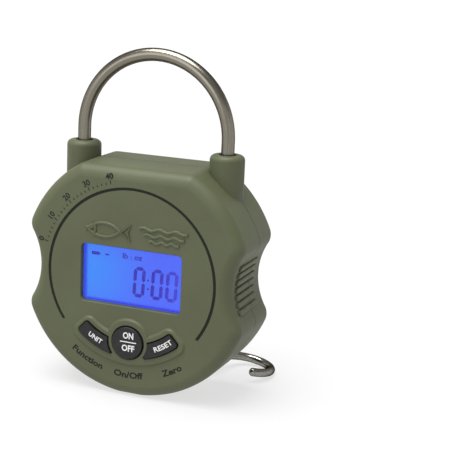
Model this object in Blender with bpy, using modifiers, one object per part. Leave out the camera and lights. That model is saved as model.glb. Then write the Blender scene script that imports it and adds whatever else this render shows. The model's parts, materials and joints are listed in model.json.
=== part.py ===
"""Digital fish scale: a round two-shell case on a bent rod handle, with a folding swivel hook.

Run with blender --background --python part.py, or from Blender's text editor. Metres, +Z up.
The origin is on the flat that the case stands on, under the front shell. +X is to the right
of somebody reading the display, and +Y runs from the face to the back.

Every piece is drawn in the dial's own frame: its origin is the centre of the round face,
DIAL_Z above the standing flat. One empty carries that frame, and three more carry the axes
of the swivel, of the hook's pin and of the battery door.
"""
import math

import bmesh
import bpy
from mathutils import Matrix

MM = 0.001
GAP = 0.3 * MM                    # between pieces that would touch
OVERRUN = 2.0 * MM                # how far a cutter runs past the surface that it opens
FAR = 90.0 * MM                   # beyond the case on every side

# The case, seen from the front: a disc with two waists, a flat top and a short standing flat
CASE_RADIUS = 57.2 * MM
WAIST_RADIUS = 30.3 * MM          # the hollow that a thumb and fingers close on
WAIST_X = 78.5 * MM               # its centre
LOBE_ROUND = 7.5 * MM             # between a waist and the disc
TOP_Z = 50.4 * MM
TOP_ROUND = 6.0 * MM
BASE_DROP = 56.5 * MM             # from the face's centre down to the standing flat
FACE_Y = -10.0 * MM
DIAL_Z = BASE_DROP

# The case, from front to back
CASE_DEPTH = 40.0 * MM
FRONT_ROUND = 5.5 * MM
FRONT_DRAFT = 0.5 * MM            # the front is this much smaller than the parting plane
BACK_ROUND = 3.0 * MM
PARTING_Y = 22.0 * MM
WALL = 3.0 * MM
FACE_WALL = 2.6 * MM
CAVITY_CHAMFER = 1.2 * MM
ROUND_STEPS = 3

# Handle: a bent rod whose legs run down to the load beam
LOAD_Y = 22.6 * MM                # the plane of the handle, the beam and the hook's swivel
ROD_RADIUS = 3.0 * MM
LEG_X = 35.9 * MM
ARCH_Z = 63.2 * MM                # where the legs turn into the arch
LEG_END_Z = -26.0 * MM
COLLAR_RADIUS = 8.0 * MM
COLLAR_TOP = 57.2 * MM
COLLAR_ROUND = 2.4 * MM
COLLAR_LOW = 32.4 * MM
SEAL_RADIUS = 4.0 * MM
SEAL_DEPTH = 2.6 * MM
SEAL_SINK = 0.5 * MM

# Load beam, with the strain gauges over its two thinned stretches
BEAM_LENGTH = 82.6 * MM
BEAM_SIDE = 12.0 * MM
BEAM_Z = -12.0 * MM
FLEX_X = 18.0 * MM
FLEX_SPREAD = 4.0 * MM
FLEX_RADIUS = 3.6 * MM
GAUGE_THICKNESS = 0.3 * MM
GAUGE_LONG = 4.0 * MM             # half its length, and half its width
GAUGE_WIDE = 3.0 * MM
NUT_FLATS = 10.0 * MM
NUT_HEIGHT = 5.0 * MM
WASHER_RADIUS = 6.0 * MM
WASHER_HEIGHT = 1.2 * MM

# Swivel and hook
STEM_RADIUS = 4.0 * MM
STEM_PROUD = 1.2 * MM             # above its nut
THRUST_RADIUS = 7.0 * MM
SWIVEL_NUT_FLATS = 13.0 * MM
SWIVEL_NUT_HEIGHT = 4.2 * MM
CLEVIS_TOP = -35.2 * MM
CLEVIS_RADIUS = 4.4 * MM
EAR_THICKNESS = 2.0 * MM
EYE_WIDTH = 3.6 * MM
EYE_RADIUS = 4.1 * MM
PIN_Z = -42.0 * MM
PIN_RADIUS = 1.6 * MM
PIN_HEAD = 2.3 * MM
PIN_HEAD_HEIGHT = 0.6 * MM
WIRE_RADIUS = 2.05 * MM
BOWL_RADIUS = 12.0 * MM
BOWL_X = 39.0 * MM                # the bowl's centre as the hook lies folded
BOWL_Y = 55.0 * MM
BOWL_Z = -52.0 * MM
TIP_ANGLE = -8.0                  # where the wire ends, in degrees past the bowl's near side
SHANK_STRAIGHT = 0.48             # the straight part of the way from the pin to the bowl
SHANK_STEPS = 9
HEADING = math.degrees(math.atan2(BOWL_Y - LOAD_Y, BOWL_X))
REACH = math.hypot(BOWL_X, BOWL_Y - LOAD_Y)
PITCH = math.degrees(math.atan2(PIN_Z - BOWL_Z, REACH))
HOOK_LENGTH = math.hypot(REACH, PIN_Z - BOWL_Z)

# Hook bay: a fan-shaped recess, open to the back and to the bottom
BAY_ROOF = -34.4 * MM
BAY_RADIUS = 6.6 * MM
BAY_HALF_ANGLE = 56.0
BAY_SIDE = 2.95 * MM              # half the width that the folded wire needs
BAY_WALL = 2.0 * MM
BUSH_RADIUS = 5.7 * MM
BUSH_FLANGE = 7.4 * MM
BUSH_TOP = 1.4 * MM
BUSH_SEAT = 8.0 * MM

# Face: the ring groove, the display window, and the pad round the keys
GROOVE_RADIUS = 41.0 * MM
GROOVE_WIDTH = 1.2 * MM
GROOVE_DEPTH = 1.0 * MM
GROOVE_END = 125.0                # degrees from the top
WINDOW_WIDTH = 49.0 * MM
WINDOW_HEIGHT = 26.5 * MM
WINDOW_ROUND = 2.0 * MM
LENS_SINK = 1.0 * MM
PAD_INNER = 27.3 * MM
PAD_OUTER = 41.6 * MM
PAD_HALF_ANGLE = 47.0
PAD_ROUND = 4.5 * MM
PAD_HEIGHT = 1.0 * MM
KEY_Z = -30.2 * MM
POWER_RADIUS = 7.6 * MM
POWER_PAD = 11.5 * MM
POWER_CLEAR = 10.0 * MM           # the side keys end on this circle round the power key
SIDE_INNER = 30.8 * MM
SIDE_OUTER = 37.3 * MM
SIDE_START = 12.0                 # degrees from straight down
SIDE_END = 42.4
SIDE_ROUND = 1.2 * MM
KEY_PROUD = 1.9 * MM
KEY_CLEAR = 0.35 * MM
KEY_TRAVEL_END = 3.8 * MM         # the back of the key's flange
KEY_BEVEL = 0.55 * MM
FLANGE = 0.9 * MM
SWITCH_ANGLE = 30.0
SWITCH_HALF = 3.0 * MM
SWITCH_GAP = 1.1 * MM             # the way from a key's back to its plunger
PLUNGER_RADIUS = 1.6 * MM
PLUNGER_PROUD = 0.8 * MM
PLUNGER_ROOT = 1.0 * MM           # the part of the plunger inside the switch's body

# Display stack and circuit board
LCD_WIDTH = 56.0 * MM
LCD_HEIGHT = 34.0 * MM
HOLDER_RIM = 2.2 * MM
BOARD_FRONT = 9.0 * MM
BOARD_BACK = 10.6 * MM
BOARD_HALF_WIDTH = 33.0 * MM
BOARD_LOW = -40.0 * MM
BOARD_HIGH = 27.0 * MM
BOARD_POSTS = [(28.0 * MM, 23.2 * MM), (30.0 * MM, -24.6 * MM)]
POST_RADIUS = 2.5 * MM
PILOT_RADIUS = 1.3 * MM
PILOT_START = 4.0 * MM
BOARD_ROUND = 2.0 * MM
CHIP_HALF = 6.0 * MM
CHIP_HEIGHT = 1.2 * MM
BOARD_SCREW_RADIUS = 1.0 * MM
BOARD_SCREW_HEAD = 2.0 * MM
BOARD_SCREW_HEIGHT = 1.2 * MM
BOARD_SCREW_CROWN = 1.6 * MM      # the head's flat top
BOARD_SCREW_LENGTH = 6.0 * MM
LENS_FLANGE_WIDTH = 1.8 * MM
LENS_FLANGE = 0.8 * MM
LCD_THICKNESS = 1.8 * MM
PLATE_THICKNESS = 2.0 * MM

# Case screws and the seal between the shells
BOSSES = [(45.2 * MM, 18.6 * MM), (45.2 * MM, -18.6 * MM), (14.0 * MM, 42.4 * MM)]
BOSS_RADIUS = 3.4 * MM
SCREW_RADIUS = 1.2 * MM
SCREW_HOLE = 1.5 * MM
HEAD_RADIUS = 2.7 * MM
HEAD_HEIGHT = 1.9 * MM
HEAD_SINK = 2.4 * MM
SCREW_FRONT_Y = 6.0 * MM
CROSS_REACH = 1.7 * MM
CROSS_HALF = 0.45 * MM
CROSS_DEPTH = 0.9 * MM
SEAL_OUTER = 1.6 * MM             # insets of the seal's two sides
SEAL_INNER = 2.7 * MM
LIP = 1.3 * MM
REBATE = 1.35 * MM

# Battery box: two AAA cells behind a hinged door
CELL_RADIUS = 5.25 * MM
CELL_LENGTH = 43.5 * MM
CELL_NUB = 1.0 * MM
CELL_Y = 32.75 * MM
CELL_ZS = {"upper": 23.0 * MM, "lower": 11.2 * MM}
BOX_HALF_WIDTH = 26.0 * MM
BOX_LOW = 5.2 * MM
BOX_HIGH = 29.0 * MM
BOX_FLOOR = 27.2 * MM
BOX_WALL = 1.5 * MM
DOOR_HALF_WIDTH = 27.65 * MM
BLOCK_HALF_WIDTH = 29.85 * MM     # the box with its side walls
BLOCK_SHELF = 3.0 * MM            # its walls above and below the cells
DOOR_LOW = 3.95 * MM
DOOR_HIGH = 30.25 * MM
DOOR_THICKNESS = 1.7 * MM
DOOR_BARREL = DOOR_THICKNESS / 2  # the radius of the round edge that the door turns on
DOOR_CLEAR = 0.35 * MM
STUB_RADIUS = 0.55 * MM
STUB_LENGTH = 1.0 * MM
LATCH_HALF_WIDTH = 5.0 * MM
LATCH_TOP = 28.6 * MM
LATCH_REACH = 2.2 * MM
LATCH_HEIGHT = 0.8 * MM
NOTCH_RADIUS = 7.0 * MM           # the finger notch over the door
NOTCH_DEPTH = 1.4 * MM
NOTCH_WIDTH = 12.0 * MM
NUB_RADIUS = 1.9 * MM
CELL_EDGE = 0.4 * MM
CONTACT_THICKNESS = 0.4 * MM
CONTACT_HALF = 4.0 * MM
SPRING_WIRE = 0.25 * MM
SPRING_INNER = 1.7 * MM
SPRING_GROWTH = 1.5 * MM
SPRING_TURNS = 2.25
SPRING_STEPS = 9                  # to a turn
SPRING_SLACK = 1.82 * MM          # left clear at its ends
LEAD_RADIUS = 0.6 * MM
LEAD_BOW = 1.5 * MM
LEAD_ZS = {"red": 17.0 * MM, "black": 11.2 * MM}
LEAD_START_Y = 31.0 * MM

# Grip ribs on the waists
RIB_COUNT = 7
RIB_PITCH = 3.375 * MM
RIB_MIDDLE_Z = -1.0 * MM
RIB_WIDTH = 1.9 * MM
RIB_HEIGHT = 0.9 * MM
RIB_FRONT = 8.0 * MM
RIB_BACK = 30.0 * MM

# Worked out from the above
LOBE_X = ((CASE_RADIUS - LOBE_ROUND) ** 2 - (WAIST_RADIUS + LOBE_ROUND) ** 2
          + WAIST_X ** 2) / (2 * WAIST_X)
LOBE_Z = math.sqrt((CASE_RADIUS - LOBE_ROUND) ** 2 - LOBE_X ** 2)
CORNER_Z = TOP_Z - TOP_ROUND
CORNER_X = math.sqrt((CASE_RADIUS - TOP_ROUND) ** 2 - CORNER_Z ** 2)
BEAM_TOP = BEAM_Z + BEAM_SIDE / 2
BEAM_BOTTOM = BEAM_Z - BEAM_SIDE / 2

COLOURS = {
    "olive_shell": ((0.107, 0.117, 0.065), 0.62, 0.0),
    "key_rubber": ((0.012, 0.012, 0.013), 0.45, 0.0),
    "seal_rubber": ((0.02, 0.02, 0.02), 0.7, 0.0),
    "clear_lens": ((0.2, 0.32, 0.9), 0.1, 0.0),
    "display_blue": ((0.06, 0.22, 1.0), 0.3, 0.0),
    "diffuser": ((0.75, 0.8, 0.9), 0.4, 0.0),
    "inner_plastic": ((0.05, 0.05, 0.055), 0.5, 0.0),
    "board_green": ((0.02, 0.12, 0.05), 0.4, 0.0),
    "satin_steel": ((0.5, 0.48, 0.45), 0.35, 1.0),
    "hook_steel": ((0.42, 0.41, 0.39), 0.2, 1.0),
    "beam_aluminium": ((0.65, 0.66, 0.68), 0.4, 1.0),
    "gauge_foil": ((0.6, 0.35, 0.12), 0.4, 0.0),
    "zinc_screw": ((0.4, 0.4, 0.42), 0.35, 1.0),
    "cell_wrap": ((0.03, 0.09, 0.2), 0.35, 0.0),
    "contact_nickel": ((0.6, 0.6, 0.58), 0.3, 1.0),
    "red_lead": ((0.45, 0.02, 0.02), 0.5, 0.0),
    "black_lead": ((0.015, 0.015, 0.015), 0.5, 0.0),
    "bush_nylon": ((0.7, 0.7, 0.66), 0.5, 0.0),
}


class Workshop:
    """The collections, the materials and the empties that carry each frame."""

    def __init__(self):
        for old in list(bpy.data.objects):
            bpy.data.objects.remove(old, do_unlink=True)
        self.parts = bpy.data.collections.new("digital_fish_scale")
        self.cutters = bpy.data.collections.new("cutters")
        for collection in (self.parts, self.cutters):
            bpy.context.scene.collection.children.link(collection)
        self.materials = {name: make_material(name, *look) for name, look in COLOURS.items()}
        self.dial = self.empty("dial_centre", None, (0, FACE_Y, DIAL_Z))
        self.swivel = self.empty("swivel_axis", self.dial, (0, LOAD_Y, 0))
        self.swivel.rotation_euler = (0, 0, math.radians(HEADING - 90))
        self.fold = self.empty("hook_pin_axis", self.swivel, (0, 0, PIN_Z))
        self.fold.rotation_euler = (math.radians(-PITCH), 0, 0)
        self.door = self.empty("door_axis", self.dial,
                               (0, CASE_DEPTH - DOOR_BARREL, DOOR_LOW + DOOR_BARREL))

    def empty(self, name, parent, location):
        """An empty that other objects are placed from."""
        holder = bpy.data.objects.new(name, None)
        holder.parent = parent
        holder.location = location
        self.parts.objects.link(holder)
        return holder

    def part(self, name, bm, look, parent=None):
        """A named piece of the scale."""
        obj = self.place(name, bm, parent, self.parts)
        obj.data.materials.append(self.materials[look])
        return obj

    def cutter(self, name, bm, parent=None):
        """A shape that only cuts or adds to others."""
        obj = self.place(name, bm, parent, self.cutters)
        obj.hide_render = True
        obj.display_type = "WIRE"
        return obj

    def place(self, name, bm, parent, collection):
        """Turn a bmesh into an object under its empty."""
        mesh = bpy.data.meshes.new(name)
        bm.to_mesh(mesh)
        bm.free()
        obj = bpy.data.objects.new(name, mesh)
        obj.parent = parent or self.dial
        collection.objects.link(obj)
        return obj


def make_material(name, colour, roughness, metallic):
    """A Principled material with a flat colour."""
    material = bpy.data.materials.new(name)
    material.use_nodes = True
    shader = material.node_tree.nodes["Principled BSDF"]
    shader.inputs["Base Color"].default_value = (*colour, 1.0)
    shader.inputs["Roughness"].default_value = roughness
    shader.inputs["Metallic"].default_value = metallic
    material.diffuse_color = (*colour, 1.0)
    return material


def combine(target, tool, operation="DIFFERENCE"):
    """Cut a tool from a piece, or join it on."""
    modifier = target.modifiers.new(f"{operation.lower()}_{tool.name}", "BOOLEAN")
    modifier.operation = operation
    modifier.object = tool
    return target


def smooth(obj, angle=35.0):
    """Shade round surfaces smooth and keep edges sharp."""
    obj.data.shade_smooth()
    obj.data.set_sharp_from_angle(angle=math.radians(angle))
    return obj


# Outlines, as (x, z) points seen from the front

def arc(centre, radius, start, end, steps):
    """Points along an arc, its angles in degrees from +X towards +Z."""
    angles = [math.radians(start + (end - start) * i / steps) for i in range(steps + 1)]
    return [(centre[0] + radius * math.cos(a), centre[1] + radius * math.sin(a)) for a in angles]


def join_arcs(arcs):
    """One list from arcs that each start where the last one ended."""
    points = list(arcs[0])
    for following in arcs[1:]:
        points += following[1:]
    return points


def case_side(inset, draft=0.0):
    """The right half of the case's outline, from bottom to top.

    All of it is moved in by inset, and all but the standing flat by draft too.
    """
    inward = inset + draft
    rim = CASE_RADIUS - inward
    base = math.degrees(math.acos((BASE_DROP - inset) / rim))
    lobe = math.degrees(math.atan2(LOBE_Z, LOBE_X))
    turn = math.degrees(math.atan2(LOBE_Z, WAIST_X - LOBE_X))
    corner = math.degrees(math.atan2(CORNER_Z, CORNER_X))
    return join_arcs([
        arc((0, 0), rim, base - 90, -lobe, 9),
        arc((LOBE_X, -LOBE_Z), LOBE_ROUND - inward, -lobe, turn, 4),
        arc((WAIST_X, 0), WAIST_RADIUS + inward, 180 + turn, 180 - turn, 7),
        arc((LOBE_X, LOBE_Z), LOBE_ROUND - inward, -turn, lobe, 4),
        arc((0, 0), rim, lobe, corner, 5),
        arc((CORNER_X, CORNER_Z), TOP_ROUND - inward, corner, 90, 3),
    ])


def case_outline(inset, draft=0.0):
    """The whole outline, moved in by inset and draft."""
    side = case_side(inset, draft)
    return side + [(-x, z) for x, z in reversed(side)]


def round_rectangle(half_width, low, high, radius, steps=3):
    """A rectangle about x = 0 with round corners."""
    across = half_width - radius
    return (arc((across, low + radius), radius, -90, 0, steps)
            + arc((across, high - radius), radius, 0, 90, steps)
            + arc((-across, high - radius), radius, 90, 180, steps)
            + arc((-across, low + radius), radius, 180, 270, steps))


def disc(centre, radius, steps=24):
    """A circle's points."""
    return arc(centre, radius, 0, 360, steps)[:-1]


def ring_sector(inner, outer, start, end, radius, inset, steps=8):
    """A stretch of a ring round the face's centre, between two angles from straight down."""
    first, last = start - 90, end - 90
    out_slip = math.degrees(math.asin(radius / (outer - radius)))
    in_slip = math.degrees(math.asin(radius / (inner + radius)))
    small = radius - inset

    def corner(distance, at, turn_from):
        centre = arc((0, 0), distance, at, at, 1)[0]
        return arc(centre, small, turn_from, turn_from + 90, 4)

    outer_arc = arc((0, 0), outer - inset, first + out_slip, last - out_slip, steps)
    inner_arc = arc((0, 0), inner + inset, last - in_slip, first + in_slip, steps)
    return (corner(outer - radius, first + out_slip, first - 90 + out_slip)[:-1]
            + outer_arc
            + corner(outer - radius, last - out_slip, last - out_slip)[1:]
            + corner(inner + radius, last - in_slip, last - in_slip + 90)[:-1]
            + inner_arc
            + corner(inner + radius, first + in_slip, first + 180 + in_slip)[1:])


# Solids, each as a bmesh

def loft(sections):
    """A closed body through sections, each a depth along Y and its outline."""
    bm = bmesh.new()
    rings = [[bm.verts.new((x, y, z)) for x, z in points] for y, points in sections]
    for near, far in zip(rings, rings[1:]):
        for i in range(len(near)):
            bm.faces.new((near[i - 1], near[i], far[i], far[i - 1]))
    bm.faces.new(rings[0])
    bm.faces.new(rings[-1])
    bmesh.ops.recalc_face_normals(bm, faces=bm.faces)
    return bm


def prism(points, front, back):
    """A straight body with one outline."""
    return loft([(front, points), (back, points)])


def box(low, high):
    """A box from its lowest corner to its highest."""
    bm = bmesh.new()
    size = [b - a for a, b in zip(low, high)]
    middle = [(a + b) / 2 for a, b in zip(low, high)]
    matrix = Matrix.Translation(middle) @ Matrix.Diagonal((*size, 1.0))
    bmesh.ops.create_cube(bm, size=1.0, matrix=matrix)
    return bm


def cylinder(centre, radius, length, axis="Z", steps=32, phase=0.0):
    """A cylinder about its middle, along X, Y or Z."""
    turns = {"X": Matrix.Rotation(math.pi / 2, 4, "Y"),
             "Y": Matrix.Rotation(math.pi / 2, 4, "X"),
             "Z": Matrix.Identity(4)}
    matrix = Matrix.Translation(centre) @ turns[axis] @ Matrix.Rotation(phase, 4, "Z")
    bm = bmesh.new()
    bmesh.ops.create_cone(bm, cap_ends=True, segments=steps, radius1=radius, radius2=radius,
                          depth=length, matrix=matrix)
    return bm


def merge(shapes):
    """One bmesh from several that stay clear of each other."""
    whole = bmesh.new()
    for shape in shapes:
        mesh = bpy.data.meshes.new("passing")
        shape.to_mesh(mesh)
        shape.free()
        whole.from_mesh(mesh)
        bpy.data.meshes.remove(mesh)
    return whole


def turned(shop, name, profile, look, location, axis="Z", steps=32, parent=None, closed=False):
    """A turned piece from (radius, height) points that run down its outer side."""
    bm = bmesh.new()
    verts = [bm.verts.new((radius, 0, height)) for radius, height in profile]
    for first, second in zip(verts, verts[1:]):
        bm.edges.new((first, second))
    if closed:
        bm.edges.new((verts[-1], verts[0]))
    obj = shop.part(name, bm, look, parent)
    obj.location = location
    turns = {"X": (0, math.pi / 2, 0), "Y": (-math.pi / 2, 0, 0), "Z": (0, 0, 0)}
    obj.rotation_euler = turns[axis]
    screw = obj.modifiers.new("turn", "SCREW")
    screw.steps = steps
    screw.render_steps = steps
    screw.use_merge_vertices = True
    screw.merge_threshold = 0.00001
    screw.use_smooth_shade = True
    return obj


def ring_profile(inner, outer, low, high):
    """The profile of a flat ring, run round so that its outer side goes down."""
    return [(inner, high), (outer, high), (outer, low), (inner, low)]


def wire(shop, name, points, radius, look, parent=None, taper=()):
    """A round wire along points; taper lists the relative radii of its last points."""
    curve = bpy.data.curves.new(name, "CURVE")
    curve.dimensions = "3D"
    curve.bevel_depth = radius
    curve.bevel_resolution = 2
    curve.render_resolution_u = 0
    curve.use_fill_caps = True
    spline = curve.splines.new("POLY")
    spline.points.add(len(points) - 1)
    for point, place in zip(spline.points, points):
        point.co = (*place, 1.0)
    for point, share in zip(reversed(spline.points), reversed(taper)):
        point.radius = share
    obj = bpy.data.objects.new(name, curve)
    obj.parent = parent or shop.dial
    obj.data.materials.append(shop.materials[look])
    shop.parts.objects.link(obj)
    return obj


def wire_as_mesh(shop, source, name, look, parent):
    """Replace a wire by a welded mesh that Booleans can work on."""
    depsgraph = bpy.context.evaluated_depsgraph_get()
    mesh = bpy.data.meshes.new_from_object(source.evaluated_get(depsgraph))
    bm = bmesh.new()
    bm.from_mesh(mesh)
    bmesh.ops.remove_doubles(bm, verts=bm.verts, dist=0.00001)
    bpy.data.meshes.remove(mesh)
    bpy.data.objects.remove(source, do_unlink=True)
    return shop.part(name, bm, look, parent)


# Case

def rounded_sections(start, end, radius, outline):
    """Sections of a quarter-round edge, from its tight end to its full outline."""
    sections = []
    for i in range(ROUND_STEPS + 1):
        angle = math.pi / 2 * i / ROUND_STEPS
        depth = start + (end - start) * (1 - math.cos(angle))
        sections.append((depth, outline(radius * (1 - math.sin(angle)))))
    return sections


def make_case_blank():
    """The outer form of the closed case, which both shells are cut from."""
    front = rounded_sections(0, FRONT_ROUND, FRONT_ROUND,
                             lambda inset: case_outline(inset, FRONT_DRAFT))
    back = rounded_sections(CASE_DEPTH, CASE_DEPTH - BACK_ROUND, BACK_ROUND, case_outline)
    return loft(front + [(PARTING_Y, case_outline(0))] + back[::-1])


def make_collars(shop):
    """The two collars that the handle's legs leave the case by."""
    stages = [(COLLAR_TOP, COLLAR_RADIUS - COLLAR_ROUND),
              (COLLAR_TOP - COLLAR_ROUND * 0.3, COLLAR_RADIUS - COLLAR_ROUND * 0.3),
              (COLLAR_TOP - COLLAR_ROUND, COLLAR_RADIUS),
              (COLLAR_LOW, COLLAR_RADIUS)]
    sides = []
    for side in (-1, 1):
        bm = bmesh.new()
        rings = []
        for height, radius in stages:
            circle = disc((side * LEG_X, LOAD_Y), radius, 24)
            rings.append([bm.verts.new((x, y, height)) for x, y in circle])
        for upper, lower in zip(rings, rings[1:]):
            for i in range(len(upper)):
                bm.faces.new((upper[i - 1], upper[i], lower[i], lower[i - 1]))
        bm.faces.new(rings[0])
        bm.faces.new(rings[-1])
        bmesh.ops.recalc_face_normals(bm, faces=bm.faces)
        sides.append(bm)
    return shop.cutter("collars", merge(sides))


def make_ribs(shop):
    """Raised bars across both waists, each square to the hollow."""
    bars = []
    for side in (-1, 1):
        for i in range(RIB_COUNT):
            height = RIB_MIDDLE_Z + (i - (RIB_COUNT - 1) / 2) * RIB_PITCH
            tilt = math.asin(height / WAIST_RADIUS)
            x = WAIST_X - WAIST_RADIUS * math.cos(tilt)
            bar = box((-RIB_HEIGHT, RIB_FRONT, -RIB_WIDTH / 2), (RIB_HEIGHT, RIB_BACK, RIB_WIDTH / 2))
            place = Matrix.Translation((side * x, 0, height)) @ Matrix.Rotation(side * tilt, 4, "Y")
            bmesh.ops.transform(bar, matrix=place, verts=bar.verts)
            bars.append(bar)
    return shop.cutter("grip_ribs", merge(bars))


def make_pad(shop):
    """The low pad round the three keys, in two shapes that overlap."""
    def pad_sections(outline):
        return [(PAD_HEIGHT, outline(0)), (-PAD_HEIGHT * 0.2, outline(0)),
                (-PAD_HEIGHT, outline(PAD_HEIGHT * 0.8))]

    band = loft(pad_sections(lambda inset: ring_sector(
        PAD_INNER, PAD_OUTER, -PAD_HALF_ANGLE, PAD_HALF_ANGLE, PAD_ROUND, inset, 16)))
    centre = loft(pad_sections(lambda inset: disc((0, KEY_Z), POWER_PAD - inset)))
    return shop.cutter("pad_band", band), shop.cutter("pad_centre", centre)


def bay_outline(extra):
    """The bay from above, as (x, y) points about the swivel, widened by extra."""
    radius = BAY_RADIUS + extra
    half = BAY_SIDE + extra
    lean = math.radians(BAY_HALF_ANGLE)
    meet = BAY_HALF_ANGLE + math.degrees(math.asin(half / radius))
    back = CASE_DEPTH + OVERRUN - LOAD_Y
    wide = back * math.tan(lean) + half / math.cos(lean)
    front = arc((0, 0), radius, 90 - meet, meet - 270, 18)
    return front + [(-wide, back), (wide, back)]


def make_bay(shop, name, extra):
    """The hook bay, or the thicker block that leaves a wall round it."""
    bm = prism(bay_outline(extra), -FAR, BAY_ROOF + extra)
    swap = Matrix(((1, 0, 0, 0), (0, 0, 1, LOAD_Y), (0, 1, 0, 0), (0, 0, 0, 1)))
    bmesh.ops.transform(bm, matrix=swap, verts=bm.verts)
    bmesh.ops.recalc_face_normals(bm, faces=bm.faces)
    return shop.cutter(name, bm)


def mirrored(places):
    """Each place and its mirror image in x."""
    return [(side * x, z) for x, z in places for side in (-1, 1)]


def make_cavity(shop, bay_block):
    """The room inside the case, less the bosses, the posts, the bay and the battery box."""
    far = CASE_DEPTH - FACE_WALL
    tight = WALL + CAVITY_CHAMFER
    cavity = shop.cutter("cavity", loft([
        (FACE_WALL, case_outline(tight)), (FACE_WALL + CAVITY_CHAMFER, case_outline(WALL)),
        (far - CAVITY_CHAMFER, case_outline(WALL)), (far, case_outline(tight))]))
    middle, length = CASE_DEPTH / 2, CASE_DEPTH + 2 * OVERRUN
    bosses = [cylinder((x, middle, z), BOSS_RADIUS, length, "Y", 12) for x, z in mirrored(BOSSES)]
    post_length = BOARD_FRONT - GAP + OVERRUN
    posts = [cylinder((x, post_length / 2 - OVERRUN, z), POST_RADIUS, post_length, "Y", 10)
             for x, z in mirrored(BOARD_POSTS)]
    battery = box((-BLOCK_HALF_WIDTH, BOX_FLOOR - BOX_WALL, BOX_LOW - BLOCK_SHELF),
                  (BLOCK_HALF_WIDTH, CASE_DEPTH + OVERRUN, BOX_HIGH + BLOCK_SHELF))
    combine(cavity, shop.cutter("bosses_and_posts", merge(bosses + posts)))
    combine(cavity, shop.cutter("battery_block", battery))
    return combine(cavity, bay_block)


def make_rod_holes(shop):
    """The way of both legs through the collars, with a wider mouth for the seals."""
    holes = []
    for side in (-1, 1):
        for radius, start, end in ((ROD_RADIUS + GAP, LEG_END_Z, COLLAR_TOP + 2 * OVERRUN),
                                   (SEAL_RADIUS + GAP, COLLAR_TOP - SEAL_DEPTH - SEAL_SINK - GAP,
                                    COLLAR_TOP + OVERRUN)):
            centre = (side * LEG_X, LOAD_Y, (start + end) / 2)
            name = f"leg_hole_{'left' if side < 0 else 'right'}_{len(holes) % 2}"
            holes.append(shop.cutter(name, cylinder(centre, radius, end - start, "Z", 24)))
    return holes


def make_groove(shop):
    """The open ring pressed into the face."""
    half = GROOVE_WIDTH / 2
    outer = arc((0, 0), GROOVE_RADIUS + half, 90 - GROOVE_END, 90 + GROOVE_END, 40)
    inner = arc((0, 0), GROOVE_RADIUS - half, 90 + GROOVE_END, 90 - GROOVE_END, 40)
    return shop.cutter("ring_groove", prism(outer + inner, -OVERRUN, GROOVE_DEPTH))


def side_key_outline(side, inset, clear=0.0):
    """A side key's outline before the round key's circle is cut from it."""
    start, end = (SIDE_START, SIDE_END) if side > 0 else (-SIDE_END, -SIDE_START)
    slip = math.degrees(clear / SIDE_OUTER)
    return ring_sector(SIDE_INNER - clear, SIDE_OUTER + clear, start - slip, end + slip,
                       SIDE_ROUND + clear, inset)


def make_key_holes(shop):
    """The openings for the three keys."""
    depth = FACE_WALL + OVERRUN
    power = prism(disc((0, KEY_Z), POWER_RADIUS + KEY_CLEAR), -2 * OVERRUN, depth)
    holes = [shop.cutter("power_hole", power)]
    round_end = cylinder((0, 0, KEY_Z), POWER_CLEAR - KEY_CLEAR, CASE_DEPTH, "Y", 40)
    guard = shop.cutter("power_guard", round_end)
    for side, name in ((-1, "unit"), (1, "reset")):
        points = side_key_outline(side, 0, KEY_CLEAR)
        hole = shop.cutter(f"{name}_hole", prism(points, -2 * OVERRUN, depth))
        holes.append(combine(hole, guard))
    return holes


def make_screw_holes(shop):
    """Through holes for the case screws, and the wells of their heads."""
    end = CASE_DEPTH + OVERRUN
    shafts = []
    wells = []
    for x, z in mirrored(BOSSES):
        length = end - SCREW_FRONT_Y + GAP
        shafts.append(cylinder((x, end - length / 2, z), SCREW_HOLE, length, "Y", 12))
        depth = HEAD_SINK + HEAD_HEIGHT + GAP + OVERRUN
        wells.append(cylinder((x, end - depth / 2, z), HEAD_RADIUS + GAP, depth, "Y", 16))
    pilot_middle = (PILOT_START + BOARD_FRONT) / 2
    pilots = [cylinder((x, pilot_middle, z), PILOT_RADIUS, BOARD_FRONT - PILOT_START, "Y", 12)
              for x, z in mirrored(BOARD_POSTS)]
    return [shop.cutter("screw_shafts", merge(shafts)), shop.cutter("screw_wells", merge(wells)),
            shop.cutter("post_pilots", merge(pilots))]


def make_battery_room(shop):
    """The room for the cells, the door's seat, its hinge holes and a finger notch."""
    room = box((-BOX_HALF_WIDTH, BOX_FLOOR, BOX_LOW),
               (BOX_HALF_WIDTH, CASE_DEPTH + OVERRUN, BOX_HIGH))
    wide = DOOR_HALF_WIDTH + DOOR_CLEAR
    seat = box((-wide, CASE_DEPTH - DOOR_THICKNESS - GAP, DOOR_LOW - DOOR_CLEAR),
               (wide, CASE_DEPTH + OVERRUN, DOOR_HIGH + DOOR_CLEAR))
    reach = 2 * (DOOR_HALF_WIDTH + STUB_LENGTH + GAP)
    pivot = cylinder((0, CASE_DEPTH - DOOR_BARREL, DOOR_LOW + DOOR_BARREL), STUB_RADIUS + GAP,
                     reach, "X", 12)
    notch = cylinder((0, CASE_DEPTH + NOTCH_RADIUS - NOTCH_DEPTH, DOOR_HIGH), NOTCH_RADIUS,
                     NOTCH_WIDTH, "X", 40)
    return [shop.cutter("cell_room", room), shop.cutter("door_seat", seat),
            shop.cutter("door_pivots", pivot), shop.cutter("finger_notch", notch)]


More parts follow.
